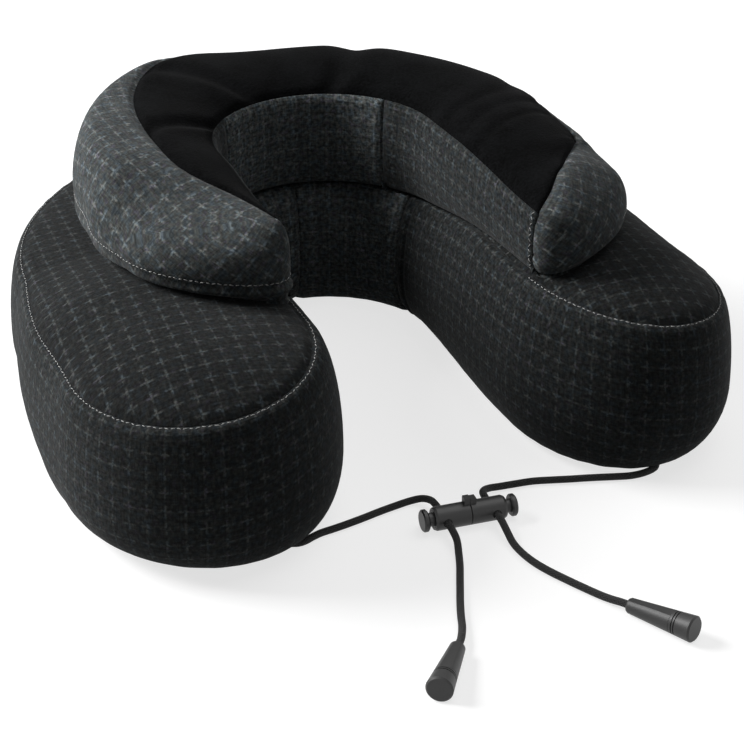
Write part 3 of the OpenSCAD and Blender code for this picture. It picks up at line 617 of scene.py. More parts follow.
panels = [panel("top_cover", "lower_top_panel", cushion, whole_loop(), top_lines, wrap=True,
                cloth_map=from_above, slot="check_fabric", press=1.0, cap=3.0, bent=-1)]
panels += both(lambda side, word: panel(
    word + "_side_cover", word + "_side_band", cushion, band_round(side), wall_lines,
    flip=side < 0, slot="check_fabric", press=1.0, cap=3.0, bent=0))
back_run = run(0, ZIP_S, BEND_STEP)
back_where = join(back(stations(-1, back_run, 0)), stations(1, back_run, 0))
panels += [
    panel("back_cover_above_zip", "upper_back_band", cushion, back_where,
          eased(STRIP_LINES, 1, zip_hi), slot="check_fabric", press=0.6, cap=1.5, pucker=0.12,
          bent=0),
    panel("back_cover_below_zip", "lower_back_band", cushion, back_where,
          eased(STRIP_LINES, zip_lo, 3), slot="check_fabric", press=0.6, cap=1.5)]
panels += both(lambda side, word: panel(
    word + "_neck_cover", word + "_neck_panel", cushion,
    stations(side, run(NECK_S, 0, NECK_STEP), np.pi), eased(NECK_LINES, 1, 3),
    flip=side < 0, slot="rib_fabric", press=0.5, cap=1.5, pucker=0.1, bent=0))
print("cushion panels:", [(p["name"], p["points"].shape[:2]) for p in panels])


# %% Roll panels
PLUSH_LINES, ROLL_LINES, ROLL_WALL_LINES, TIP_STEPS, ROLL_PULL = 38, 46, 30, 48, 0.1


def over_ridge(side, s, place):
    """Point of the roll's top by one number: -1 at the neck seam, 0 on the ridge, then outwards."""
    s = s + 0*place
    return roll(side + 0*place, s, np.where(place < 0, np.pi, 0.0), np.abs(place))


def plush_panel():
    """The plush: over the ridge from the neck seam to its edge on the outside, from tip to tip."""
    parts = [stations(k, arm_run(k, 0.0, roll_end), 0) for k in (-1, 1)]
    where = join(back(parts[0]), parts[1])
    side, s, _ = (x[:, None] for x in where)
    place = (1 + plush_edge(side, s))*eased(PLUSH_LINES, 0, 1, ROLL_PULL)[None, :] - 1
    points = over_ridge(side, s, place)
    return dict(name="plush_cover", node="plush_top_panel", shape=roll, points=points,
                where=where, wrap=False, cloth_map=points[..., :2], lines=None, slot="plush",
                press=0.8, cap=2.0, bent=0, pucker=0.1)


def roll_side_panel(side, word):
    """The roll's outside and tip: from the plush or the ridge down to the crease."""
    s = arm_run(side, 0.0, roll_end)
    tip = np.linspace(0, np.pi, TIP_STEPS + 1)
    where = join(stations(side, s, 0), stations(side, s[-1], tip))
    low = np.where(where[2] == 0, plush_edge(*where[:2]), 0)
    lines = low[:, None] + (3 - low[:, None])*eased(ROLL_LINES, 0, 1, ROLL_PULL)[None, :]
    return panel(word + "_roll_cover", word + "_roll_side", roll, where, lines, flip=side < 0,
                 slot="check_fabric", press=1.0, cap=2.5, hem=True, crease=True, pucker=0.14)


panels.append(plush_panel())
panels += both(roll_side_panel)
roll_wall = eased(ROLL_WALL_LINES, 1, 3)
neck_run = run(0, ROLL_S, ROLL_NECK_STEP)
roll_back = join(back(stations(1, neck_run, np.pi)), stations(-1, neck_run, np.pi))
panels.append(panel("roll_neck_cover", "roll_neck_panel", roll, roll_back, roll_wall,
                    slot="rib_fabric", press=0.5, cap=1.5, crease=True, pucker=0.1, bent=0))
panels += both(lambda side, word: panel(
    word + "_roll_neck_cover", word + "_roll_neck", roll,
    stations(side, arm_run(side, ROLL_S, roll_end)[::-1], np.pi), roll_wall,
    flip=side < 0, slot="rib_fabric", press=0.5, cap=1.5, crease=True, pucker=0.1, bent=0))
print("roll panels:", [(p["name"], p["points"].shape[:2]) for p in panels if p["shape"] is roll])

# %% [markdown]
# ## Softening and flattening
#
# The roll's rules meet in a slight fold along the shoulder, where the real cloth runs over in one
# sweep, so its panels are softened across that line, evened out along the roll and filled out a
# little at the tips, and the plush's right corner is drawn back as on the real one.
#
# A check also shows how a panel was cut flat: on the roll's sides, which bend round the neck and
# close over the tip, a map by lengths would pinch the check. So a net of springs as long as the
# cloth between its points is laid out roughly flat and left to settle, which is what a pattern
# cutter does with paper.


# %% Coarse and fine grids
COARSE = 3


def coarse_index(n):
    """Every third line of a grid, always with the last one."""
    return np.unique(np.append(np.arange(0, n, COARSE), n - 1))


def widen(field, rows, cols, shape, wrap):
    """Carries a coarse grid of vectors to the fine grid by straight steps along both directions."""
    if wrap:
        rows = np.append(rows, shape[0])
        field = np.concatenate([field, field[:1]])
    parts = range(field.shape[2])
    fine_rows = np.stack([np.stack([np.interp(np.arange(shape[0]), rows, field[:, j, k])
                                    for j in range(field.shape[1])], 1) for k in parts], -1)
    return np.stack([np.stack([np.interp(np.arange(shape[1]), cols, row[:, k]) for k in parts], -1)
                     for row in fine_rows])


print("coarse lines of a grid of 10:", coarse_index(10).tolist())


# %% Softening
def evened(points, passes):
    """Moves each inner point along the first axis to the middle of its neighbours, step by step."""
    even = points.copy()
    for _ in range(passes):
        even[1:-1] = 0.5*even[1:-1] + 0.25*(even[:-2] + even[2:])
    return even


def softened(points, passes):
    """The same across the panel."""
    return np.swapaxes(evened(np.swapaxes(points, 0, 1), passes), 0, 1)


def with_even_edge(points, rows, column, passes=40, reach=12.0):
    """Evens out one border and takes the cloth beside it along, less and less within its reach."""
    points = points.copy()
    part = points[rows]
    across = lengths_along(part, 1)
    fade = np.exp(-((across - across[:, [column]])/reach)**2)[..., None]
    shift = evened(part[:, column], passes) - part[:, column]
    points[rows] = part + shift[:, None]*fade
    return points


def swept(points, passes=50, reach=14.0):
    """Evens out the cloth along the roll, fully only away from its upper edge; the borders stay."""
    even = points.copy()
    even[:, 1:-1] = evened(points[:, 1:-1], passes)
    away = 1 - np.exp(-(lengths_along(points, 1)/reach)**2)[..., None]
    return points + away*(even - points)


print("a step evened out:", evened(np.array([0.0, 0.0, 1.0, 1.0]), 1).tolist())


# %% Settled cut
def unrolled(points):
    """First layout of the cut: each station's line is laid straight out in its own direction."""
    start = points[:, :1, :2]
    way = unit(points[:, points.shape[1]//2, None, :2] - start)
    return start + way*lengths_along(points, 1)[..., None]


def settled(points, passes=3000, ease=0.2):
    """Lets the layout settle: steps and diagonals of the grid pull towards their real lengths."""
    rows, cols = coarse_index(points.shape[0]), coarse_index(points.shape[1])
    body, flat = points[np.ix_(rows, cols)], unrolled(points)[np.ix_(rows, cols)]
    n, m = flat.shape[:2]
    ways = ((0, 1), (1, 0), (1, 1), (1, -1))
    pairs = [((slice(0, n - i), slice(max(0, -j), m - max(0, j))),
              (slice(i, n), slice(max(0, j), m - max(0, -j)))) for i, j in ways]
    want = [np.linalg.norm(body[b] - body[a], axis=-1, keepdims=True) for a, b in pairs]
    for _ in range(passes):
        move = np.zeros_like(flat)
        for (a, b), length in zip(pairs, want):
            gap = flat[b] - flat[a]
            pull = 0.5*(gap - unit(gap)*length)
            move[a] += pull
            move[b] -= pull
        flat = flat + ease*move
    return widen(flat, rows, cols, points.shape, False)


by_name = {p["name"]: p for p in panels}
print("far corner of the left roll's first layout:",
      unrolled(by_name["left_roll_cover"]["points"])[-1, -1].round(1).tolist())

# %% Fuller tips and the plush's corner
CORNER_SHIFT, CORNER_REACH = np.array([-4.6, 5.6, 0.0]), 15.0
CORNER = over_ridge(1.0, float(roll_end(1)), np.zeros(1))[0]
TIP_FULLER, TIP_SHARE, TIP_MIDDLE, TIP_SPREAD = (7.0, 3.0), 0.25, (0.74, 2.0), (0.32, 0.7)
CREASE_FADE = 1.2
WALL_FULLER, WALL_BACK, WALL_U, WALL_SPREAD = 4.0, 14.0, 2.45, (24.0, 0.4)


def drawn_back(points):
    """Draws the plush's right corner back, and the cloth near it by a bell of its distance."""
    near = np.exp(-np.sum((points - CORNER)**2, -1, keepdims=True)/CORNER_REACH**2)
    return points + near*CORNER_SHIFT


def bell(x, y, spread):
    """A bell curve over two distances, each with its own spread."""
    return np.exp(-(x/spread[0])**2 - (y/spread[1])**2)


def fuller_tip(p):
    """Height of the soft bulge at the roll's tip: a bell that is less on the neck side."""
    side, s, a = (x[:, None] for x in p["where"])
    place = section_place(p)
    height = pick(side, *TIP_FULLER)*bell(s/roll_end(side) - TIP_MIDDLE[0], place - TIP_MIDDLE[1],
                                          TIP_SPREAD)
    around = TIP_SHARE + (1 - TIP_SHARE)*(1 + np.cos(a))/2
    return height*around*np.sin(np.pi*np.clip((3 - place)/CREASE_FADE, 0, 0.5))


def fuller_wall(p):
    """The same low on the left lobe's outside, where arm and lobe end meet."""
    side, s, a = (x[:, None] for x in p["where"])
    height = WALL_FULLER*bell(s - arm_end(side) + WALL_BACK, section_place(p) - WALL_U, WALL_SPREAD)
    return height*((1 + np.cos(a))/2)**3


def raised(p, height):
    """The panel's points moved out along their normals."""
    return p["points"] + grid_normals(p["points"], p["wrap"])*height[..., None]


print("the plush's right corner was at", CORNER.round(1).tolist(), "mm")

# %% Soften and flatten the roll
SOFT_PASSES = 8
for p in panels:
    if p["name"] in ("plush_cover", "right_roll_cover", "right_roll_neck_cover"):
        p["points"] = drawn_back(p["points"])
    if p["name"] == "left_side_cover":
        p["points"] = raised(p, fuller_wall(p))
    if p["slot"] == "plush":
        left = p["where"][0] < 0
        first_right = int(np.argmin(left))
        for rows in (slice(0, first_right), slice(first_right - 1, None)):
            p["points"] = with_even_edge(p["points"], rows, -1)
    if p.get("hem"):
        outside = np.flatnonzero(p["where"][2] == 0)
        p["points"] = with_even_edge(p["points"], slice(outside[0], outside[-1] + 1), 0)
    if p["slot"] == "plush" or p.get("hem"):
        p["points"] = softened(p["points"], SOFT_PASSES)
    if p.get("hem"):
        p["points"] = swept(p["points"])
        p["points"] = raised(p, fuller_tip(p))
        p["cloth_map"] = settled(p["points"])
        size = [round(float(np.ptp(p["cloth_map"][..., k]))) for k in (0, 1)]
        print(p["name"], "cut from", size, "mm of cloth")

# %% [markdown]
# ## Swelling the cover
#
# Foam presses a sewn cover outwards everywhere but at its seams, so panels stand a little proud
# between them. Bending the grids by hand would look mechanical. Instead all panels go into one
# cloth object at a coarse spacing, their sewn borders are pinned, pressure pushes them out with no
# gravity, and what each point moved, capped, is carried back to the fine grids.

# %% Cloth simulation
SIM_FRAMES = 20


def swell(parts):
    """Runs pressure on all the panels at once and returns what each fine point moves, in mm."""
    points, faces, pins, places, start = [], [], [], [], 0
    for p in parts:
        n, m = p["points"].shape[:2]
        rows, cols = np.arange(n) if p["wrap"] else coarse_index(n), coarse_index(m)
        grid = p["points"][np.ix_(rows, cols)]
        pinned = np.zeros(grid.shape[:2], bool)
        pinned[:, -1] = True
        if not p["wrap"]:
            pinned[:, 0] = pinned[0] = pinned[-1] = True
        points.append(grid.reshape(-1, 3)*MM)
        faces.append(grid_faces(len(rows), len(cols), p["wrap"]) + start)
        pins.append(pinned.ravel())
        places.append((rows, cols, start, grid.shape))
        start += grid.shape[0]*grid.shape[1]
    points, faces, pins = np.concatenate(points), np.concatenate(faces), np.concatenate(pins)
    island = np.concatenate([np.full(x[3][0]*x[3][1], k) for k, x in enumerate(places)])
    first, same, faces, _ = welded(points, faces, island)
    cloth = make_mesh("swelling", points[first], faces, weld=False)
    group = cloth.vertex_groups.new(name="sewn")
    held = np.unique(same[pins])
    group.add(held.tolist(), 1.0, "REPLACE")
    modifier = cloth.modifiers.new("swelling", "CLOTH")
    settings = modifier.settings
    settings.quality = 6
    settings.mass = 0.25
    settings.tension_stiffness = settings.compression_stiffness = 25
    settings.shear_stiffness = 8
    settings.bending_stiffness = 1.5
    settings.use_pressure = True
    settings.uniform_pressure_force = 4
    settings.effector_weights.gravity = 0
    settings.vertex_group_mass = "sewn"
    modifier.collision_settings.use_collision = False
    modifier.point_cache.frame_start, modifier.point_cache.frame_end = 1, SIM_FRAMES
    for step in range(1, SIM_FRAMES + 1):
        scene.frame_set(step)
    shaped = cloth.evaluated_get(bpy.context.evaluated_depsgraph_get())
    moved = np.empty(3*len(shaped.data.vertices), np.float32)
    shaped.data.vertices.foreach_get("co", moved)
    change = ((moved.reshape(-1, 3) - points[first])/MM)[same]
    scene.frame_set(1)
    bpy.data.objects.remove(cloth)
    return [widen(change[at:at + g[0]*g[1]].reshape(g), rows, cols, p["points"].shape, p["wrap"])
            for p, (rows, cols, at, g) in zip(parts, places)]


def capped_move(move, cap):
    """Shortens long moves smoothly: length times cap over (length plus cap)."""
    size = np.linalg.norm(move, axis=-1, keepdims=True)
    return move*cap/(size + cap)


for p, move in zip(panels, swell(panels)):
    size = np.linalg.norm(move, axis=-1)
    p["points"] = p["points"] + capped_move(move, p["cap"])*p["press"]
    print(p["name"], "swelled by up to", round(float(size.max()), 2),
          "mm, on average", round(float(size.mean()), 2))

# %% [markdown]
# ## Seams, puckers and folds
#
# A sewn seam draws the cloth in along a narrow groove, and the thread gathers it into small
# puckers that die out within a few millimetres. The plush shows a few soft folds where it is bent
# round the neck, and the roll's sides end in a rolled hem above the crease. All of it is added
# along the normals, as a function of the distance from the seams.


# %% Seam relief
TWIN_GROOVE, TWIN_AT, TWIN_WIDTH = 0.9, 5.0, 1.1


def ripple(points, wave=6.6):
    """Uneven ripples: two crossed sine waves, and a longer one that changes their height.

    They come from the place alone, so that both panels of a seam share them.
    """
    x, y, z = points[..., 0], points[..., 1], points[..., 2]
    a, b = x*0.94 + y*0.34, y*0.94 - x*0.34
    waves = np.sin(2*np.pi*a/wave + z/9) + np.sin(2*np.pi*b/(wave*1.13) + 2.1)
    return 0.55*waves*(0.7 + 0.3*np.sin((a + 0.7*b)/11.0))


def seam_relief(p, groove=1.1, reach=7.0, width=2.0):
    """Height along the normal: a bell-shaped groove on each sewn border, and fading puckers.

    The side bands have a second groove beside their neck seam.
    """
    points = p["points"]
    pucker = p.get("pucker", 0.24)
    across, along = lengths_along(points, 1), lengths_along(points, 0)
    height = np.zeros(points.shape[:2])
    borders = [] if p.get("crease") else [(across[:, -1:] - across, points[:, -1:])]
    if not p["wrap"]:
        borders += [(across, points[:, :1]), (along, points[:1]), (along[-1:] - along, points[-1:])]
    sunk = np.zeros_like(height)
    for distance, line in borders:
        sunk = np.maximum(sunk, np.exp(-(distance/width)**2))
        height += pucker*np.exp(-distance/reach)*ripple(line)
    height -= groove*sunk
    if "side_cover" in p["name"]:
        neck_end = along[-1:] - along if p["where"][0][0] > 0 else along
        height -= TWIN_GROOVE*np.exp(-((neck_end - TWIN_AT)/TWIN_WIDTH)**2)
    return height


print("ripple at three places:", ripple(np.eye(3)*10).round(2).tolist())


# %% Directions shared along a seam
FIVE, SEAM_STEP, EDGE_STEP = np.arange(-2, 3), 0.02, 0.03


def middle_way(near, wrap):
    """Mean of the normals just inside and just outside of the middle column of five."""
    normals = grid_normals(near, wrap)
    return unit(normals[:, 1] + normals[:, 3])


def seam_way(p):
    """Direction shared by both panels of the top seam."""
    side, s, a = p["where"]
    a = np.full(len(s), np.pi) if p["slot"] == "plush" else a
    way = middle_way(evaluate(p["shape"], (side, s, a), 1 + SEAM_STEP*FIVE), p["wrap"])
    return way if p["slot"] != "plush" else -way


def edge_way(side, s):
    """The same for the plush's outer edge, from the roll's skin on both sides of it."""
    place = plush_edge(side, s)[:, None] + EDGE_STEP*FIVE
    way = middle_way(over_ridge(side[:, None], s[:, None], place), False)
    return way*np.sign(way[:, 2:])


def leaning(normal, points, column, way, reach=2.5):
    """Turns the normals next to a border into its shared direction."""
    across = lengths_along(points, 1)
    near = np.exp(-((across - across[:, [column]])/reach)**2)[..., None]
    return unit(normal*(1 - near) + way[:, None]*near)


def shared_ways(p):
    """The columns of a panel that share their direction with a neighbour, and the direction."""
    side, s, a = p["where"]
    shared = [(p["bent"], seam_way(p))] if "bent" in p else []
    if p["slot"] == "plush":
        shared.append((-1, edge_way(side, s)))
    if p.get("hem"):
        outside = np.flatnonzero(a == 0)
        way = edge_way(side[outside], s[outside])
        every_way = np.tile(way[np.argmax(s[outside])], (len(s), 1))
        every_way[outside] = way
        shared.append((0, every_way))
    return shared


print("shared borders of the plush:", len(shared_ways(by_name["plush_cover"])))


# %% Folds, hem and relief
HEM_U, HEM_GROOVE, HEM_ROLL, HEM_LIP = 2.15, 0.05, 0.35, {"left": 1.2, "right": 0.4}
# Each fold: its place along the roll, width, depth and slant, in millimetres.
FOLDS = ((-52, 3.6, 2.6, 8), (-21, 3.2, 2.2, 5), (17, 3.8, 2.6, -3),
         (60, 3.2, 1.0, 14), (74, 2.6, 0.9, 16), (90, 3.0, 0.9, 15))


def fold(s, place, width, depth):
    """One soft valley across the plush with low banks: a bell curve less a wider one."""
    x = (s - place)/width
    return -depth*(np.exp(-x**2) - 0.45*np.exp(-(x/2.2)**2))


def plush_folds(p):
    """Height of all the folds of the plush, each at a slant and gone at the panel's long edges."""
    along = (p["where"][0]*p["where"][1])[:, None]
    spread = np.linspace(-1, 1, p["points"].shape[1])[None, :]
    return sum(fold(along + skew*spread, place, width, depth)*(1 - spread**6)
               for place, width, depth, skew in FOLDS)


def hem(p):
    """Height of the rolled hem: a narrow groove, then half a sine wave below it."""
    place = section_place(p) - HEM_U
    lip = HEM_LIP[p["name"].split("_")[0]]
    return lip*np.sin(np.pi*np.clip(place/HEM_ROLL, 0, 1)) - lip*np.exp(-(place/HEM_GROOVE)**2)


for p in panels:
    normal = grid_normals(p["points"], p["wrap"])
    height = seam_relief(p)
    if p["name"] == "plush_cover":
        height = height + plush_folds(p)
    if p.get("hem"):
        height = height + hem(p)
    shared = shared_ways(p)
    for column, way in shared:
        normal = leaning(normal, p["points"], column, way)
    p["points"] = p["points"] + normal*height[..., None]
    p["normals"] = grid_normals(p["points"], p["wrap"])
    for column, way in shared:
        p["normals"][:, column] = way
print("relief on", len(panels), "panels")

# %% [markdown]
# ## Finishes
#
# Shader maths is written as plain expressions: a small class stands for one socket, and sums and
# products on it add the Math nodes. Every other node comes from one method.


# %% Socket arithmetic
class Wire:
    """One output socket of a finish; arithmetic on it adds nodes to the same tree."""

    def __init__(self, tree, socket=None):
        self.tree, self.socket = tree, socket

    def node(self, kind, settings=None, sockets=None, out=0):
        """Adds a node with its settings and the values or links of its sockets."""
        made = self.tree.nodes.new(kind)
        for key, value in (settings or {}).items():
            if key == "stops":
                ramp_stops = made.color_ramp.elements
                while len(ramp_stops) < len(value):
                    ramp_stops.new(0.5)
                for stop, (place, colour) in zip(ramp_stops, value):
                    stop.position, stop.color = place, colour
            else:
                setattr(made, key, value)
        for key, value in (sockets or {}).items():
            if isinstance(value, Wire):
                self.tree.links.new(value.socket, made.inputs[key])
            else:
                made.inputs[key].default_value = value
        return Wire(self.tree, made.outputs[out]) if len(made.outputs) else made

    def math(self, operation, *values):
        """One Math node."""
        return self.node("ShaderNodeMath", {"operation": operation}, dict(enumerate(values)))

    def __add__(self, other): return self.math("ADD", self, other)
    def __radd__(self, other): return self.math("ADD", other, self)
    def __sub__(self, other): return self.math("SUBTRACT", self, other)
    def __rsub__(self, other): return self.math("SUBTRACT", other, self)
    def __mul__(self, other): return self.math("MULTIPLY", self, other)
    def __rmul__(self, other): return self.math("MULTIPLY", other, self)
    def abs(self): return self.math("ABSOLUTE", self)
    def fract(self): return self.math("FRACT", self)
    def sin(self): return self.math("SINE", self)
    def max(self, other): return self.math("MAXIMUM", self, other)

    def fade(self, start, end):
        """0 before start, 1 after end, smooth between; start may be the greater."""
        low, high, first, last = (start, end, 0.0, 1.0) if start < end else (end, start, 1.0, 0.0)
        return self.node("ShaderNodeMapRange", {"interpolation_type": "SMOOTHSTEP"}, {
            "Value": self, "From Min": low, "From Max": high, "To Min": first, "To Max": last})

    def mix(self, first, second):
        """Colour mix, this socket being the factor."""
        return self.node("ShaderNodeMix", {"data_type": "RGBA"},
                         {0: self, 6: first, 7: second}, out=2)

    def scaled(self, factors):
        """This vector multiplied by three factors."""
        return self.node("ShaderNodeMapping", {"vector_type": "POINT"},
                         {"Vector": self, "Scale": factors})

    def noise(self, scale, detail=2.0, roughness=0.5):
        """Noise value at this vector."""
        return self.node("ShaderNodeTexNoise", {"noise_dimensions": "3D"},
                         {"Vector": self, "Scale": scale, "Detail": detail, "Roughness": roughness})

    def part(self, axis):
        """One of the three parts of this vector."""
        return self.node("ShaderNodeSeparateXYZ", None, {0: self}, out=axis)


# %% Making a finish
def new_finish(name):
    """An empty material and a wire to start from."""
    material = bpy.data.materials.new(name)
    material.use_nodes = True
    material.node_tree.nodes.clear()
    return material, Wire(material.node_tree)


def close_finish(material, start, varying, constants):
    """Ends a finish: one Principled shader with its varying sockets and its constants."""
    shader = start.node("ShaderNodeBsdfPrincipled", None, {**constants, **varying})
    start.node("ShaderNodeOutputMaterial", None, {"Surface": shader})
    return material


def grey(value, tint=(1.0, 1.0, 1.0)):
    """A colour from one lightness and a tint."""
    return tuple(value*t for t in tint) + (1.0,)


print("a mid grey:", grey(0.5))


# %% [markdown]
# ### Check cloth
#
# The woven cover is a charcoal melange: dark yarn with a few paler fibres, faintly blue, green and
# violet, and a lattice of small paler crosses that the loom floats over the ground. A picture of
# the cloth isn't needed: two stretched noises give the yarns, fine noise the loose fibres, and
# distances to the lattice lines give the crosses. The map is in millimetres on the panel. The one
# cloth is made in lit and shaded copies that differ only in level: painted light and shade.


# %% Check cloth
def check_cloth(name, pitch, ground, cross, rib=0.0, mottle=1.2):
    """Melange ground plus crosses on a square lattice of the given pitch."""
    material, start = new_finish(name)
    place = start.node("ShaderNodeUVMap", {"uv_map": "cloth"})
    warp = place.scaled((1/0.8, 1/6.0, 1)).noise(1.0, 2.0, 0.6)
    weft = place.scaled((1/6.0, 1/0.8, 1)).noise(1.0, 2.0, 0.6)
    fibre = place.scaled((1/0.9, 1/0.9, 1)).noise(1.0, 3.0, 0.7)
    melange = place.scaled((1/1.7, 1/1.7, 1)).noise(1.0, 2.0, 0.6).fade(0.30, 0.70)
    fleck = fibre.fade(0.56, 0.74)
    tone = place.scaled((1/26.0, 1/26.0, 1)).noise(1.0, 2.0, 0.5)
    lattice = place.scaled((1/pitch, 1/pitch, 1))
    wobble = (fibre - 0.5)*0.16
    off = [((lattice.part(k) + wobble).fract() - 0.5).abs() for k in (0, 1)]
    arms = [off[0].fade(0.10, 0.02)*off[1].fade(0.47, 0.16),
            off[1].fade(0.10, 0.02)*off[0].fade(0.47, 0.16)]
    crosses = arms[0].max(arms[1])*fibre.fade(0.28, 0.60)*(0.55 + 0.9*melange)
    yarn = (warp + weft - 0.4)*1.6
    yarns = ground*yarn*(1.0 - 0.5*mottle + mottle*melange)*(0.6 + 0.8*tone)
    light = (yarns + 0.7*ground*fleck + cross*crosses).max(0.001)
    if rib:
        ribs = (place.part(0)*(2*np.pi/1.9)).sin()*0.5 + 0.5
        streak = place.scaled((1/2.4, 1/60.0, 1)).noise(1.0, 3.0, 0.6)
        light = light*(1.0 - rib + rib*ribs)*(0.6 + 0.8*streak)
    hue = place.scaled((1/2.6, 1/2.6, 1)).noise(1.0, 1.0, 0.5)
    tint = start.node("ShaderNodeValToRGB", {"stops": [
        (0.30, (0.80, 1.00, 1.18, 1)), (0.46, (0.90, 1.06, 1.10, 1)),
        (0.56, (1.02, 1.05, 0.96, 1)), (0.70, (0.96, 0.96, 1.18, 1))]}, {"Fac": hue})
    level = start.node("ShaderNodeCombineColor", None, {0: light, 1: light, 2: light})
    colour = start.node("ShaderNodeMix", {"data_type": "RGBA", "blend_type": "MULTIPLY"},
                        {0: 1.0, 6: level, 7: tint}, out=2)
    bump = start.node("ShaderNodeBump", None,
                      {"Height": warp + weft + 0.7*fibre, "Strength": 0.35, "Distance": 0.0004})
    rough = 0.78 + 0.2*fibre
    return close_finish(material, start, {"Base Color": colour, "Normal": bump, "Roughness": rough},
                        {"Sheen Weight": 0.09, "Sheen Roughness": 0.45, "Sheen Tint": grey(0.6),
                         "Specular IOR Level": 0.06})


PITCH, ROLL_PITCH = 7.2, 7.4
# The five finishes below are one check cloth in lit and shaded copies, and their ground and cross
# levels differ only to paint light and shade. The tops' copy is the darkest, which is painted
# shade. The walls', the roll's inner arms' and the roll's copies are lighter, painted light where
# the left lamp falls. The neck panels' copy is the lightest, painted light on the inner neck walls.
check_top_painted_shade = check_cloth("check_cloth_top_painted_shade", PITCH, 0.010, 0.040)
check_wall_painted_light = check_cloth("check_cloth_wall_painted_light", PITCH, 0.0165, 0.037)
check_roll_painted_light = check_cloth("check_cloth_bias", ROLL_PITCH, 0.045, 0.088, mottle=0.7)
check_arm_neck_painted_light = check_cloth("check_cloth_neck", PITCH, 0.022, 0.040)
neck_cloth = check_cloth("neck_cloth", PITCH, 0.10, 0.10, rib=0.08)
print("cloth finishes:", [m.name for m in bpy.data.materials if "cloth" in m.name])

# %% [markdown]
# ### Plush, thread, foam, plastic and metal
#
# The plush is a short black pile: almost no colour of its own, a faint sheen and a soft grain of
# leaning tufts. Thread is pale and slightly glossy. The fittings are moulded black plastic with a
# fine spark-eroded grain, and the zip's metal is dark and worn a little at random.


# %% Other finishes
def grained(name, colours, grain, rough, bump=0.0, stretch=(1, 1, 1), **constants):
    """A finish by the place on the object: noise mixes two colours and moves roughness and relief.

    The grain is the noise's size in millimetres.
    """
    material, start = new_finish(name)
    place = start.node("ShaderNodeTexCoord", None, None, out="Object")
    factors = tuple(x/(grain*MM) for x in stretch)
    noise = place.scaled(factors).noise(1.0, 3.0, 0.6)
    cloudy = place.scaled(tuple(x/14 for x in factors)).noise(1.0, 2.0, 0.5)
    colour = (0.65*noise + 0.35*cloudy).fade(0.3, 0.7).mix(*colours)
    varying = {"Base Color": colour, "Roughness": rough[0] + (rough[1] - rough[0])*noise}
    if bump:
        varying["Normal"] = start.node("ShaderNodeBump", None, {
            "Height": noise, "Strength": bump, "Distance": grain*MM*0.4})
    sockets = {key.replace("_", " "): value for key, value in constants.items()}
    return close_finish(material, start, varying, sockets)


plush_pile = grained("plush_pile", (grey(0.0010), grey(0.0060, (0.95, 1.0, 1.08))),
                     1.1, (0.85, 1.0), 0.9, Sheen_Weight=0.022, Sheen_Roughness=0.4,
                     Sheen_Tint=grey(0.5), Specular_IOR_Level=0.015)
pale_thread = grained("pale_thread", (grey(0.20), grey(0.42, (1.0, 1.0, 0.97))),
                      0.5, (0.5, 0.7), 0.3)
memory_foam = grained("memory_foam", ((0.62, 0.52, 0.30, 1), (0.72, 0.63, 0.40, 1)),
                      1.6, (0.9, 1.0), 0.5)
clasp_plastic = grained("clasp_plastic", (grey(0.012), grey(0.022)), 0.35, (0.32, 0.5), 0.12)
end_plastic = grained("end_plastic", (grey(0.013), grey(0.024)), 0.35, (0.38, 0.55), 0.15)
tape_weave = grained("tape_weave", (grey(0.006), grey(0.024)), 0.6, (0.8, 0.95), 0.5,
                     Sheen_Weight=0.08, Specular_IOR_Level=0.15)
zip_nylon = grained("zip_nylon", (grey(0.008), grey(0.016)), 0.4, (0.3, 0.45), 0.1)
zip_metal = grained("zip_metal", (grey(0.09), grey(0.16)), 0.5, (0.28, 0.5), 0.1, Metallic=1.0)
spring_steel = grained("spring_steel", (grey(0.5), grey(0.65)), 0.3, (0.2, 0.35), 0.05,
                       Metallic=1.0)
print("finishes so far:", len(bpy.data.materials))

# %% Braid
BRAID_STRANDS, BRAID_LAY = 8, 1.5


def braided(name):
    """Two sets of strands wound opposite ways, as waves on the cord's own map."""
    material, start = new_finish(name)
    place = start.node("ShaderNodeUVMap", {"uv_map": "cloth"})
    around = place.part(0)*(2*np.pi/(np.pi*CORD_D))*BRAID_STRANDS
    along = place.part(1)*(2*np.pi/BRAID_LAY)
    strands = [(along + around).sin()*0.5 + 0.5, (along - around).sin()*0.5 + 0.5]
    over = strands[0].max(strands[1])
    fuzz = place.scaled((1/0.3, 1/0.3, 1)).noise(1.0, 2.0, 0.6)
    # The strands' crowns are lighter and the dips between them darker, which is painted shade
    # between the strands; the fuzz is the yarn's own variation.
    colour = (over*(0.4 + 0.6*fuzz)).mix(grey(0.002), grey(0.016))
    bump = start.node("ShaderNodeBump", None,
                      {"Height": over + 0.3*fuzz, "Strength": 0.8, "Distance": 0.0003})
    rough = 0.6 + 0.3*fuzz
    return close_finish(material, start, {"Base Color": colour, "Normal": bump, "Roughness": rough},
                        {"Sheen Weight": 0.15, "Specular IOR Level": 0.3})


braid = braided("cord_braid")
for cord in cords:
    cord.data.materials.append(braid)
print("finishes:", len(bpy.data.materials))

# %% [markdown]
# ## Cover pieces
#
# Each panel becomes one piece. Its border is turned in by a seam allowance, so that no gap shows
# in the groove, and Solidify gives the cloth its thickness towards the foam.

# %% Cover pieces
TURN_IN, ABOVE_TABLE = 2.2, 0.2
FABRIC_T, PLUSH_T = 1.0, 1.6


def widened(values, wrap):
    """Repeats the outermost values once along each open border of a panel."""
    rows = (0, 0) if wrap else (1, 1)
    return np.pad(values, (rows, (0 if wrap else 1, 1), (0, 0)), mode="edge")


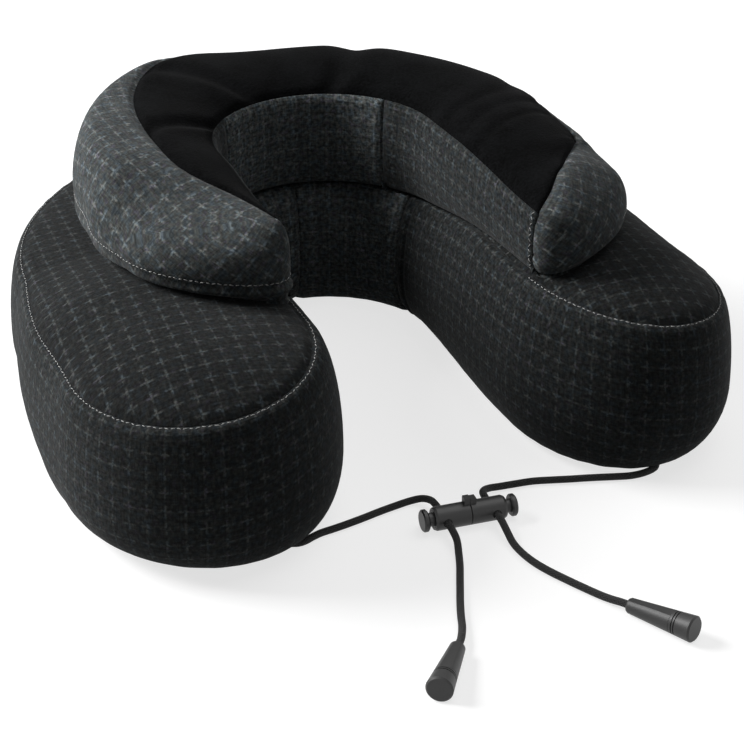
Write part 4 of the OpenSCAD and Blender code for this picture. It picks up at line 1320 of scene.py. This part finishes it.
def turned_in(points, normals, wrap):
    """Adds a line along each open border, the seam allowance, set back along the normals."""
    wide, open_side = widened(points, wrap), 0 if wrap else 1
    back_by = np.full(wide.shape[:2], TURN_IN)
    back_by[open_side:len(wide) - open_side, open_side:-1] = 0
    return wide - widened(normals, wrap)*back_by[..., None]


def thicken(piece, thickness):
    """Gives a piece of cloth its thickness, on the inside."""
    solid = piece.modifiers.new("cloth_thickness", "SOLIDIFY")
    solid.thickness = thickness*MM
    solid.offset = -1


def cover_piece(p, material, thickness):
    """The panel's mesh with its seam allowance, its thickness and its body."""
    wide = turned_in(p["points"], p["normals"], p["wrap"])
    wide[..., 2] = np.maximum(wide[..., 2], ABOVE_TABLE)
    piece = make_mesh(p["name"], wide*MM, grid_faces(*wide.shape[:2], p["wrap"]),
                      widened(p["cloth_map"], p["wrap"]), material)
    thicken(piece, thickness)
    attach(piece, "pillow")
    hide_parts(p["node"])
    return piece


def outward(p, middle_r=36, roll_z=84, cushion_z=34):
    """Share of the panel whose normals look away from the middle of its stuffing."""
    side, s, _ = (x[:, None] for x in p["where"])
    x, y = plan(side, s, middle_r + 0*s)
    height = roll_z if "roll" in p["name"] or "plush" in p["name"] else cushion_z
    middle = np.stack([x, y, height + 0*x], -1)
    return float((np.sum((p["points"] - middle)*p["normals"], -1) > 0).mean())


# The panels take the lit and shaded copies of the one check cloth. The tops and the base get
# painted shade. The side and back walls, the roll, its inner arms and the neck panels get painted
# light.
finish_of = {"check_fabric": check_top_painted_shade, "rib_fabric": neck_cloth, "plush": plush_pile}
for p in panels:
    material = finish_of[p["slot"]]
    if p["slot"] == "check_fabric" and ("side" in p["name"] or "back" in p["name"]):
        material = check_wall_painted_light
    if p.get("hem"):
        material = check_roll_painted_light
    if p["name"] in ("left_roll_neck_cover", "right_roll_neck_cover"):
        material = check_arm_neck_painted_light
    p["piece"] = cover_piece(p, material, PLUSH_T if p["slot"] == "plush" else FABRIC_T)
    print(p["name"], len(p["piece"].data.polygons), "faces, outward share", round(outward(p), 2))

# %% [markdown]
# ## Base and foam
#
# The base panel lies flat on the table, and the foam is only guessed at through the zip. Both are
# closed forms: the base is a flat grid with its border turned up, and the foam follows the skin a
# few millimetres inside it.

# %% Foam
FOAM_IN, CORE_TIP_STEPS = 6.0, 24


def closed_core(name, node, shape, where, lines):
    """A closed skin set back from the cover along its normals."""
    points = evaluate(shape, where, lines)
    normals = grid_normals(points, True)
    points = points - normals*FOAM_IN
    core = make_mesh(name, points*MM, grid_faces(*points.shape[:2], True), None, memory_foam)
    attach(core, "pillow")
    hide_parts(node)
    return core


def roll_round(side):
    """Stations right round one side of the roll."""
    s = arm_run(side, 0.0, roll_end)[::2]
    tip = np.linspace(0, np.pi, CORE_TIP_STEPS + 1)
    return join(stations(side, s, 0), stations(side, float(roll_end(side)), tip),
                stations(side, s[::-1], np.pi))


def core_lines(wall_lines):
    """Section places right round a core: top, wall and underside."""
    return np.concatenate([np.linspace(0, 1, 8), np.linspace(1, 3, wall_lines)[1:], [3.5, 4.0]])


loop = whole_loop()
roll_loop = tuple(x[:-1] for x in join(roll_round(1), back(roll_round(-1))))
cores = [closed_core("lower_foam_core", "lower_foam", cushion, tuple(x[::3] for x in loop),
                     core_lines(20)),
         closed_core("roll_foam_core", "upper_foam", roll, roll_loop, core_lines(16))]
print("cores:", [(core.name, len(core.data.polygons)) for core in cores])

# %% Base
BASE_LINES = np.array([3.0, 3.03, 3.1, 3.3, 3.6, 4.0])
BASE_HEIGHTS = np.array([1.6, 0.6, 0.15, 0.1, 0.1, 0.1])
base_grid = evaluate(cushion, loop, BASE_LINES)
base_grid[..., 2] = BASE_HEIGHTS
base = make_mesh("base_cover", base_grid*MM, grid_faces(*base_grid.shape[:2], True),
                 base_grid[..., :2], check_top_painted_shade)
thicken(base, FABRIC_T)
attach(base, "pillow")
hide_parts("base_panel")
print("base:", len(base.data.polygons), "faces")

# %% [markdown]
# ## Stitches
#
# Pale overlock stitches run along the top seam of the lobes, along the hem of the roll and up both
# tips. A drawn line would look painted on, so each stitch is a small capsule of thread that
# lies on the cloth, slanted one way and then the other.


# %% Stitches
def capsule(sides=6, rings=5):
    """Unit capsule along the first axis: a ring radius that follows half a circle at both ends."""
    t = np.linspace(-1, 1, rings)
    r = np.sqrt(np.maximum(0, 1 - np.abs(t)**3))
    turn = np.linspace(0, 2*np.pi, sides, endpoint=False)
    points = np.stack(np.broadcast_arrays(
        t[:, None], r[:, None]*np.cos(turn), r[:, None]*np.sin(turn)), -1)
    j = (np.arange(sides) + 1) % sides
    a = np.arange(rings - 1)[:, None]*sides
    k = np.arange(sides)[None, :]
    faces = np.stack([a + k, a + j[None, :], a + sides + j[None, :],
                      a + k, a + sides + j[None, :], a + sides + k], -1).reshape(-1, 3)
    return points.reshape(-1, 3), faces


def at_lengths(at, travel, values):
    """Values along a line, each part interpolated at the given lengths."""
    return np.stack([np.interp(at, travel, values[:, k]) for k in range(3)], -1)


def stitch_row(name, line, normals, slant=16.0, pitch=2.2, length=1.8, thick=0.34, lift=0.08):
    """Capsules at even lengths along a line, half sunk into the cloth.

    They are turned from the line by a slant of changing sign.
    """
    travel = lengths_along(line, 0)
    count = int(travel[-1]//pitch)
    at = (np.arange(count) + 0.5)*travel[-1]/count
    spot, up = at_lengths(at, travel, line), unit(at_lengths(at, travel, normals))
    step = unit(at_lengths(at, travel, np.gradient(line, travel, axis=0)))
    across = unit(np.cross(up, step))
    turn = np.radians(slant)*np.where(np.arange(count) % 2, 1, -1)[:, None]
    jitter = 1 + 0.14*np.sin(np.arange(count)*2.39)[:, None]
    way = step*np.cos(turn) + across*np.sin(turn)
    body, faces = capsule()
    points = (spot + up*lift)[:, None] + (
        way[:, None]*body[None, :, :1]*(length/2*jitter)[:, None]
        + np.cross(up, way)[:, None]*body[None, :, 1:2]*thick/2
        + up[:, None]*body[None, :, 2:]*thick/2)
    every = (faces[None] + np.arange(count)[:, None, None]*len(body)).reshape(-1, 3)
    row = make_mesh(name, points.reshape(-1, 3)*MM, every, None, pale_thread)
    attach(row, "pillow")
    print(name, count, "stitches")
    return row


print("one stitch:", len(capsule()[1]), "faces")

# %% Stitch rows
TOP_FROM_SEAM, TIP_FROM_SEAM, HEM_ABOVE, TIP_SLANT = 1.2, 1.3, 0.05, 40.0
BARE_FROM_TIP, RIGHT_HEM_TURN, TIP_USED, TIP_COLUMN = 4, 1.0, slice(2, -6), 12


def line_of(name, distance):
    """A line of a panel's grid at about the given distance in millimetres from its first border."""
    p = by_name[name]
    across = lengths_along(p["points"], 1).mean(0)
    j = int(np.argmin(np.abs(across - distance)))
    return p["points"][:, j], p["normals"][:, j]


stitch_rows = [stitch_row("back_top_stitches", *line_of("back_cover_above_zip", TOP_FROM_SEAM))]
for word in ("left", "right"):
    side, s, a = by_name[word + "_side_cover"]["where"]
    bare = (a < np.pi) | (s > roll_end(side) - BARE_FROM_TIP)
    line, up = line_of(word + "_side_cover", TOP_FROM_SEAM)
    stitch_rows.append(stitch_row(word + "_top_stitches", line[bare], up[bare]))
    p = by_name[word + "_roll_cover"]
    rows = np.flatnonzero(p["where"][2] <= (np.pi if word == "left" else RIGHT_HEM_TURN))
    j = np.argmin(np.abs(section_place(p) - HEM_U + HEM_ABOVE), 1)[rows]
    stitch_rows.append(stitch_row(word + "_hem_stitches", p["points"][rows, j],
                                  p["normals"][rows, j]))
    p = by_name[word + "_roll_neck_cover"]
    from_tip = lengths_along(p["points"], 0)[:, TIP_COLUMN]
    from_tip = from_tip[-1] - from_tip if word == "left" else from_tip
    row = int(np.argmin(np.abs(from_tip - TIP_FROM_SEAM)))
    stitch_rows.append(stitch_row(word + "_tip_stitches", p["points"][row, TIP_USED],
                                  p["normals"][row, TIP_USED], TIP_SLANT))
print("stitch rows:", len(stitch_rows))

# %% [markdown]
# ## Zip
#
# The zip's tapes, stops, slider and pull keep their solids. The coil is wound: each side is one
# nylon thread that runs in flat loops, and the two sides mesh in the middle.

# %% Zip coil
BACK_R = NECK_R + BACK_T
TAPE_IN, TAPE_T, COIL_GAP, COIL_HALF_T = 1.2, 0.8, 0.1, 0.75
COIL_W, COIL_PITCH, COIL_WIRE, COIL_RISE = 4.4, 1.5, 0.62, 0.42
COIL_MESH, COIL_MARGIN, COIL_STEPS, COIL_SIDES = 0.1, 0.2, 14, 6
COIL_R = BACK_R - TAPE_IN + TAPE_T + COIL_GAP + COIL_HALF_T
TAPE_END_A, STOP_A = 0.5, 2.0
COIL_END_A = ZIP_HALF_A - TAPE_END_A - STOP_A


def coil_side(sign):
    """A flattened helix along the zip's arc: across by a cosine, out from the tape by a sine."""
    turns = int(2*np.radians(COIL_END_A)*COIL_R/COIL_PITCH)
    t = np.linspace(0, turns, turns*COIL_STEPS + 1)
    angle = np.radians(np.linspace(-COIL_END_A, COIL_END_A, len(t)))
    wave = np.cos(2*np.pi*t + (0 if sign > 0 else np.pi))
    shift = sign*(COIL_W/4 - COIL_MESH) + wave*(COIL_W/4 - COIL_MARGIN)
    r = COIL_R + np.sin(2*np.pi*t)*COIL_RISE
    path = np.stack([r*np.sin(angle) + NECK_CENTRE[0], r*np.cos(angle) + NECK_CENTRE[1],
                     BELLY_Z + shift], -1)
    forward = np.stack([np.cos(angle), -np.sin(angle), 0*angle], -1)
    return capped(tube(path, COIL_WIRE/2, COIL_SIDES, forward)[0])


halves = [coil_side(1), coil_side(-1)]
coil_points = np.concatenate([half.reshape(-1, 3) for half in halves])
half_faces = grid_faces(*halves[0].shape[:2])
coil_faces = np.concatenate([half_faces, half_faces + len(coil_points)//2])
coil = make_mesh("zip_teeth", coil_points*MM, coil_faces, None, zip_nylon)
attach(coil, "pillow")
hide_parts("zip_coil")
print("zip coil:", len(coil.data.polygons), "faces")

# %% [markdown]
# ## Finishes on the fittings
#
# These solids are right as they are, so they only get their plastic, metal or woven finish.

# %% Fittings
fittings = {
    clasp_plastic: ("left_clasp_half", "right_clasp_half", "left_button", "right_button"),
    end_plastic: ("left_cord_end", "right_cord_end", "left_end_lid", "right_end_lid"),
    braid: ("left_knot", "right_knot"),
    tape_weave: ("zip_tapes",), zip_nylon: ("zip_stops",), zip_metal: ("zip_slider", "zip_pull")}
for material, names in fittings.items():
    for name in names:
        nodes[name].data.materials.clear()
        nodes[name].data.materials.append(material)
for spring in springs.values():
    spring.data.materials.append(spring_steel)
print("finished fittings:", sum(len(names) for names in fittings.values()))

# %% [markdown]
# ## Table, light and sky
#
# The pillow lies on a white table under a large soft lamp from its left and a weaker one from
# above. To the camera the table and the sky add a little white of their own, so that the ground
# stays white while it keeps the shadow; nothing of that falls on the pillow.


# %% Table
def seen_directly(start):
    """1 for the camera and what it sees in gloss or glass, 0 for light on the pillow."""
    rays = [start.node("ShaderNodeLightPath", None, None, out=ray)
            for ray in ("Is Camera Ray", "Is Glossy Ray", "Is Transmission Ray")]
    return rays[0].max(rays[1]).max(rays[2])


def white_ground(name, colour, lift):
    """A matt white that shows the camera, mirrors and glass a little extra white of its own."""
    material, start = new_finish(name)
    seen = seen_directly(start)
    shader = start.node("ShaderNodeBsdfPrincipled", None, {
        "Base Color": grey(colour), "Roughness": 0.9, "Specular IOR Level": 0.1})
    glow = start.node("ShaderNodeEmission", None, {"Color": grey(1.0), "Strength": lift})
    lifted = start.node("ShaderNodeAddShader", None, {0: shader, 1: glow})
    shown = start.node("ShaderNodeMixShader", None, {0: seen, 1: shader, 2: lifted})
    start.node("ShaderNodeOutputMaterial", None, {"Surface": shown})
    return material


TABLE_HALF = 4.0
TABLE_CORNERS = np.array([[-1, -1, 0], [1, -1, 0], [1, 1, 0], [-1, 1, 0]])
floor = make_mesh("table", TABLE_HALF*TABLE_CORNERS, np.array([[0, 1, 2], [0, 2, 3]]), None,
                  white_ground("white_table", 0.4, 0.72))
print("table:", 2*TABLE_HALF, "m wide")


# %% Lamps and sky
SKY_LIGHT, SKY_SEEN = 0.05, 1.0


def soft_lamp(name, place, target, size, power):
    """A square area lamp aimed at a point."""
    lamp = bpy.data.lights.new(name, "AREA")
    lamp.shape = "SQUARE"
    lamp.size, lamp.energy = size, power
    holder = bpy.data.objects.new(name, lamp)
    holder.location = place
    holder.rotation_euler = (Vector(target) - Vector(place)).to_track_quat("-Z", "Y").to_euler()
    scene.collection.objects.link(holder)
    return holder


lamps = [soft_lamp("left_softbox", (-1.2, 0.75, 0.95), (-0.05, 0.0, 0.06), 0.9, 51),
         soft_lamp("top_softbox", (0.6, 0.15, 1.45), (0.04, -0.02, 0.05), 1.4, 8)]
sky = bpy.data.worlds.new("studio")
sky.use_nodes = True
sky.node_tree.nodes.clear()
start = Wire(sky.node_tree)
seen = seen_directly(start)
dim, white = (start.node("ShaderNodeBackground", None, {"Color": grey(1.0), "Strength": strength})
              for strength in (SKY_LIGHT, SKY_SEEN))
backdrop = start.node("ShaderNodeMixShader", None, {0: seen, 1: dim, 2: white})
start.node("ShaderNodeOutputWorld", None, {"Surface": backdrop})
scene.world = sky
scene.view_settings.view_transform = "Standard"
print("lamps:", [lamp.name for lamp in lamps])
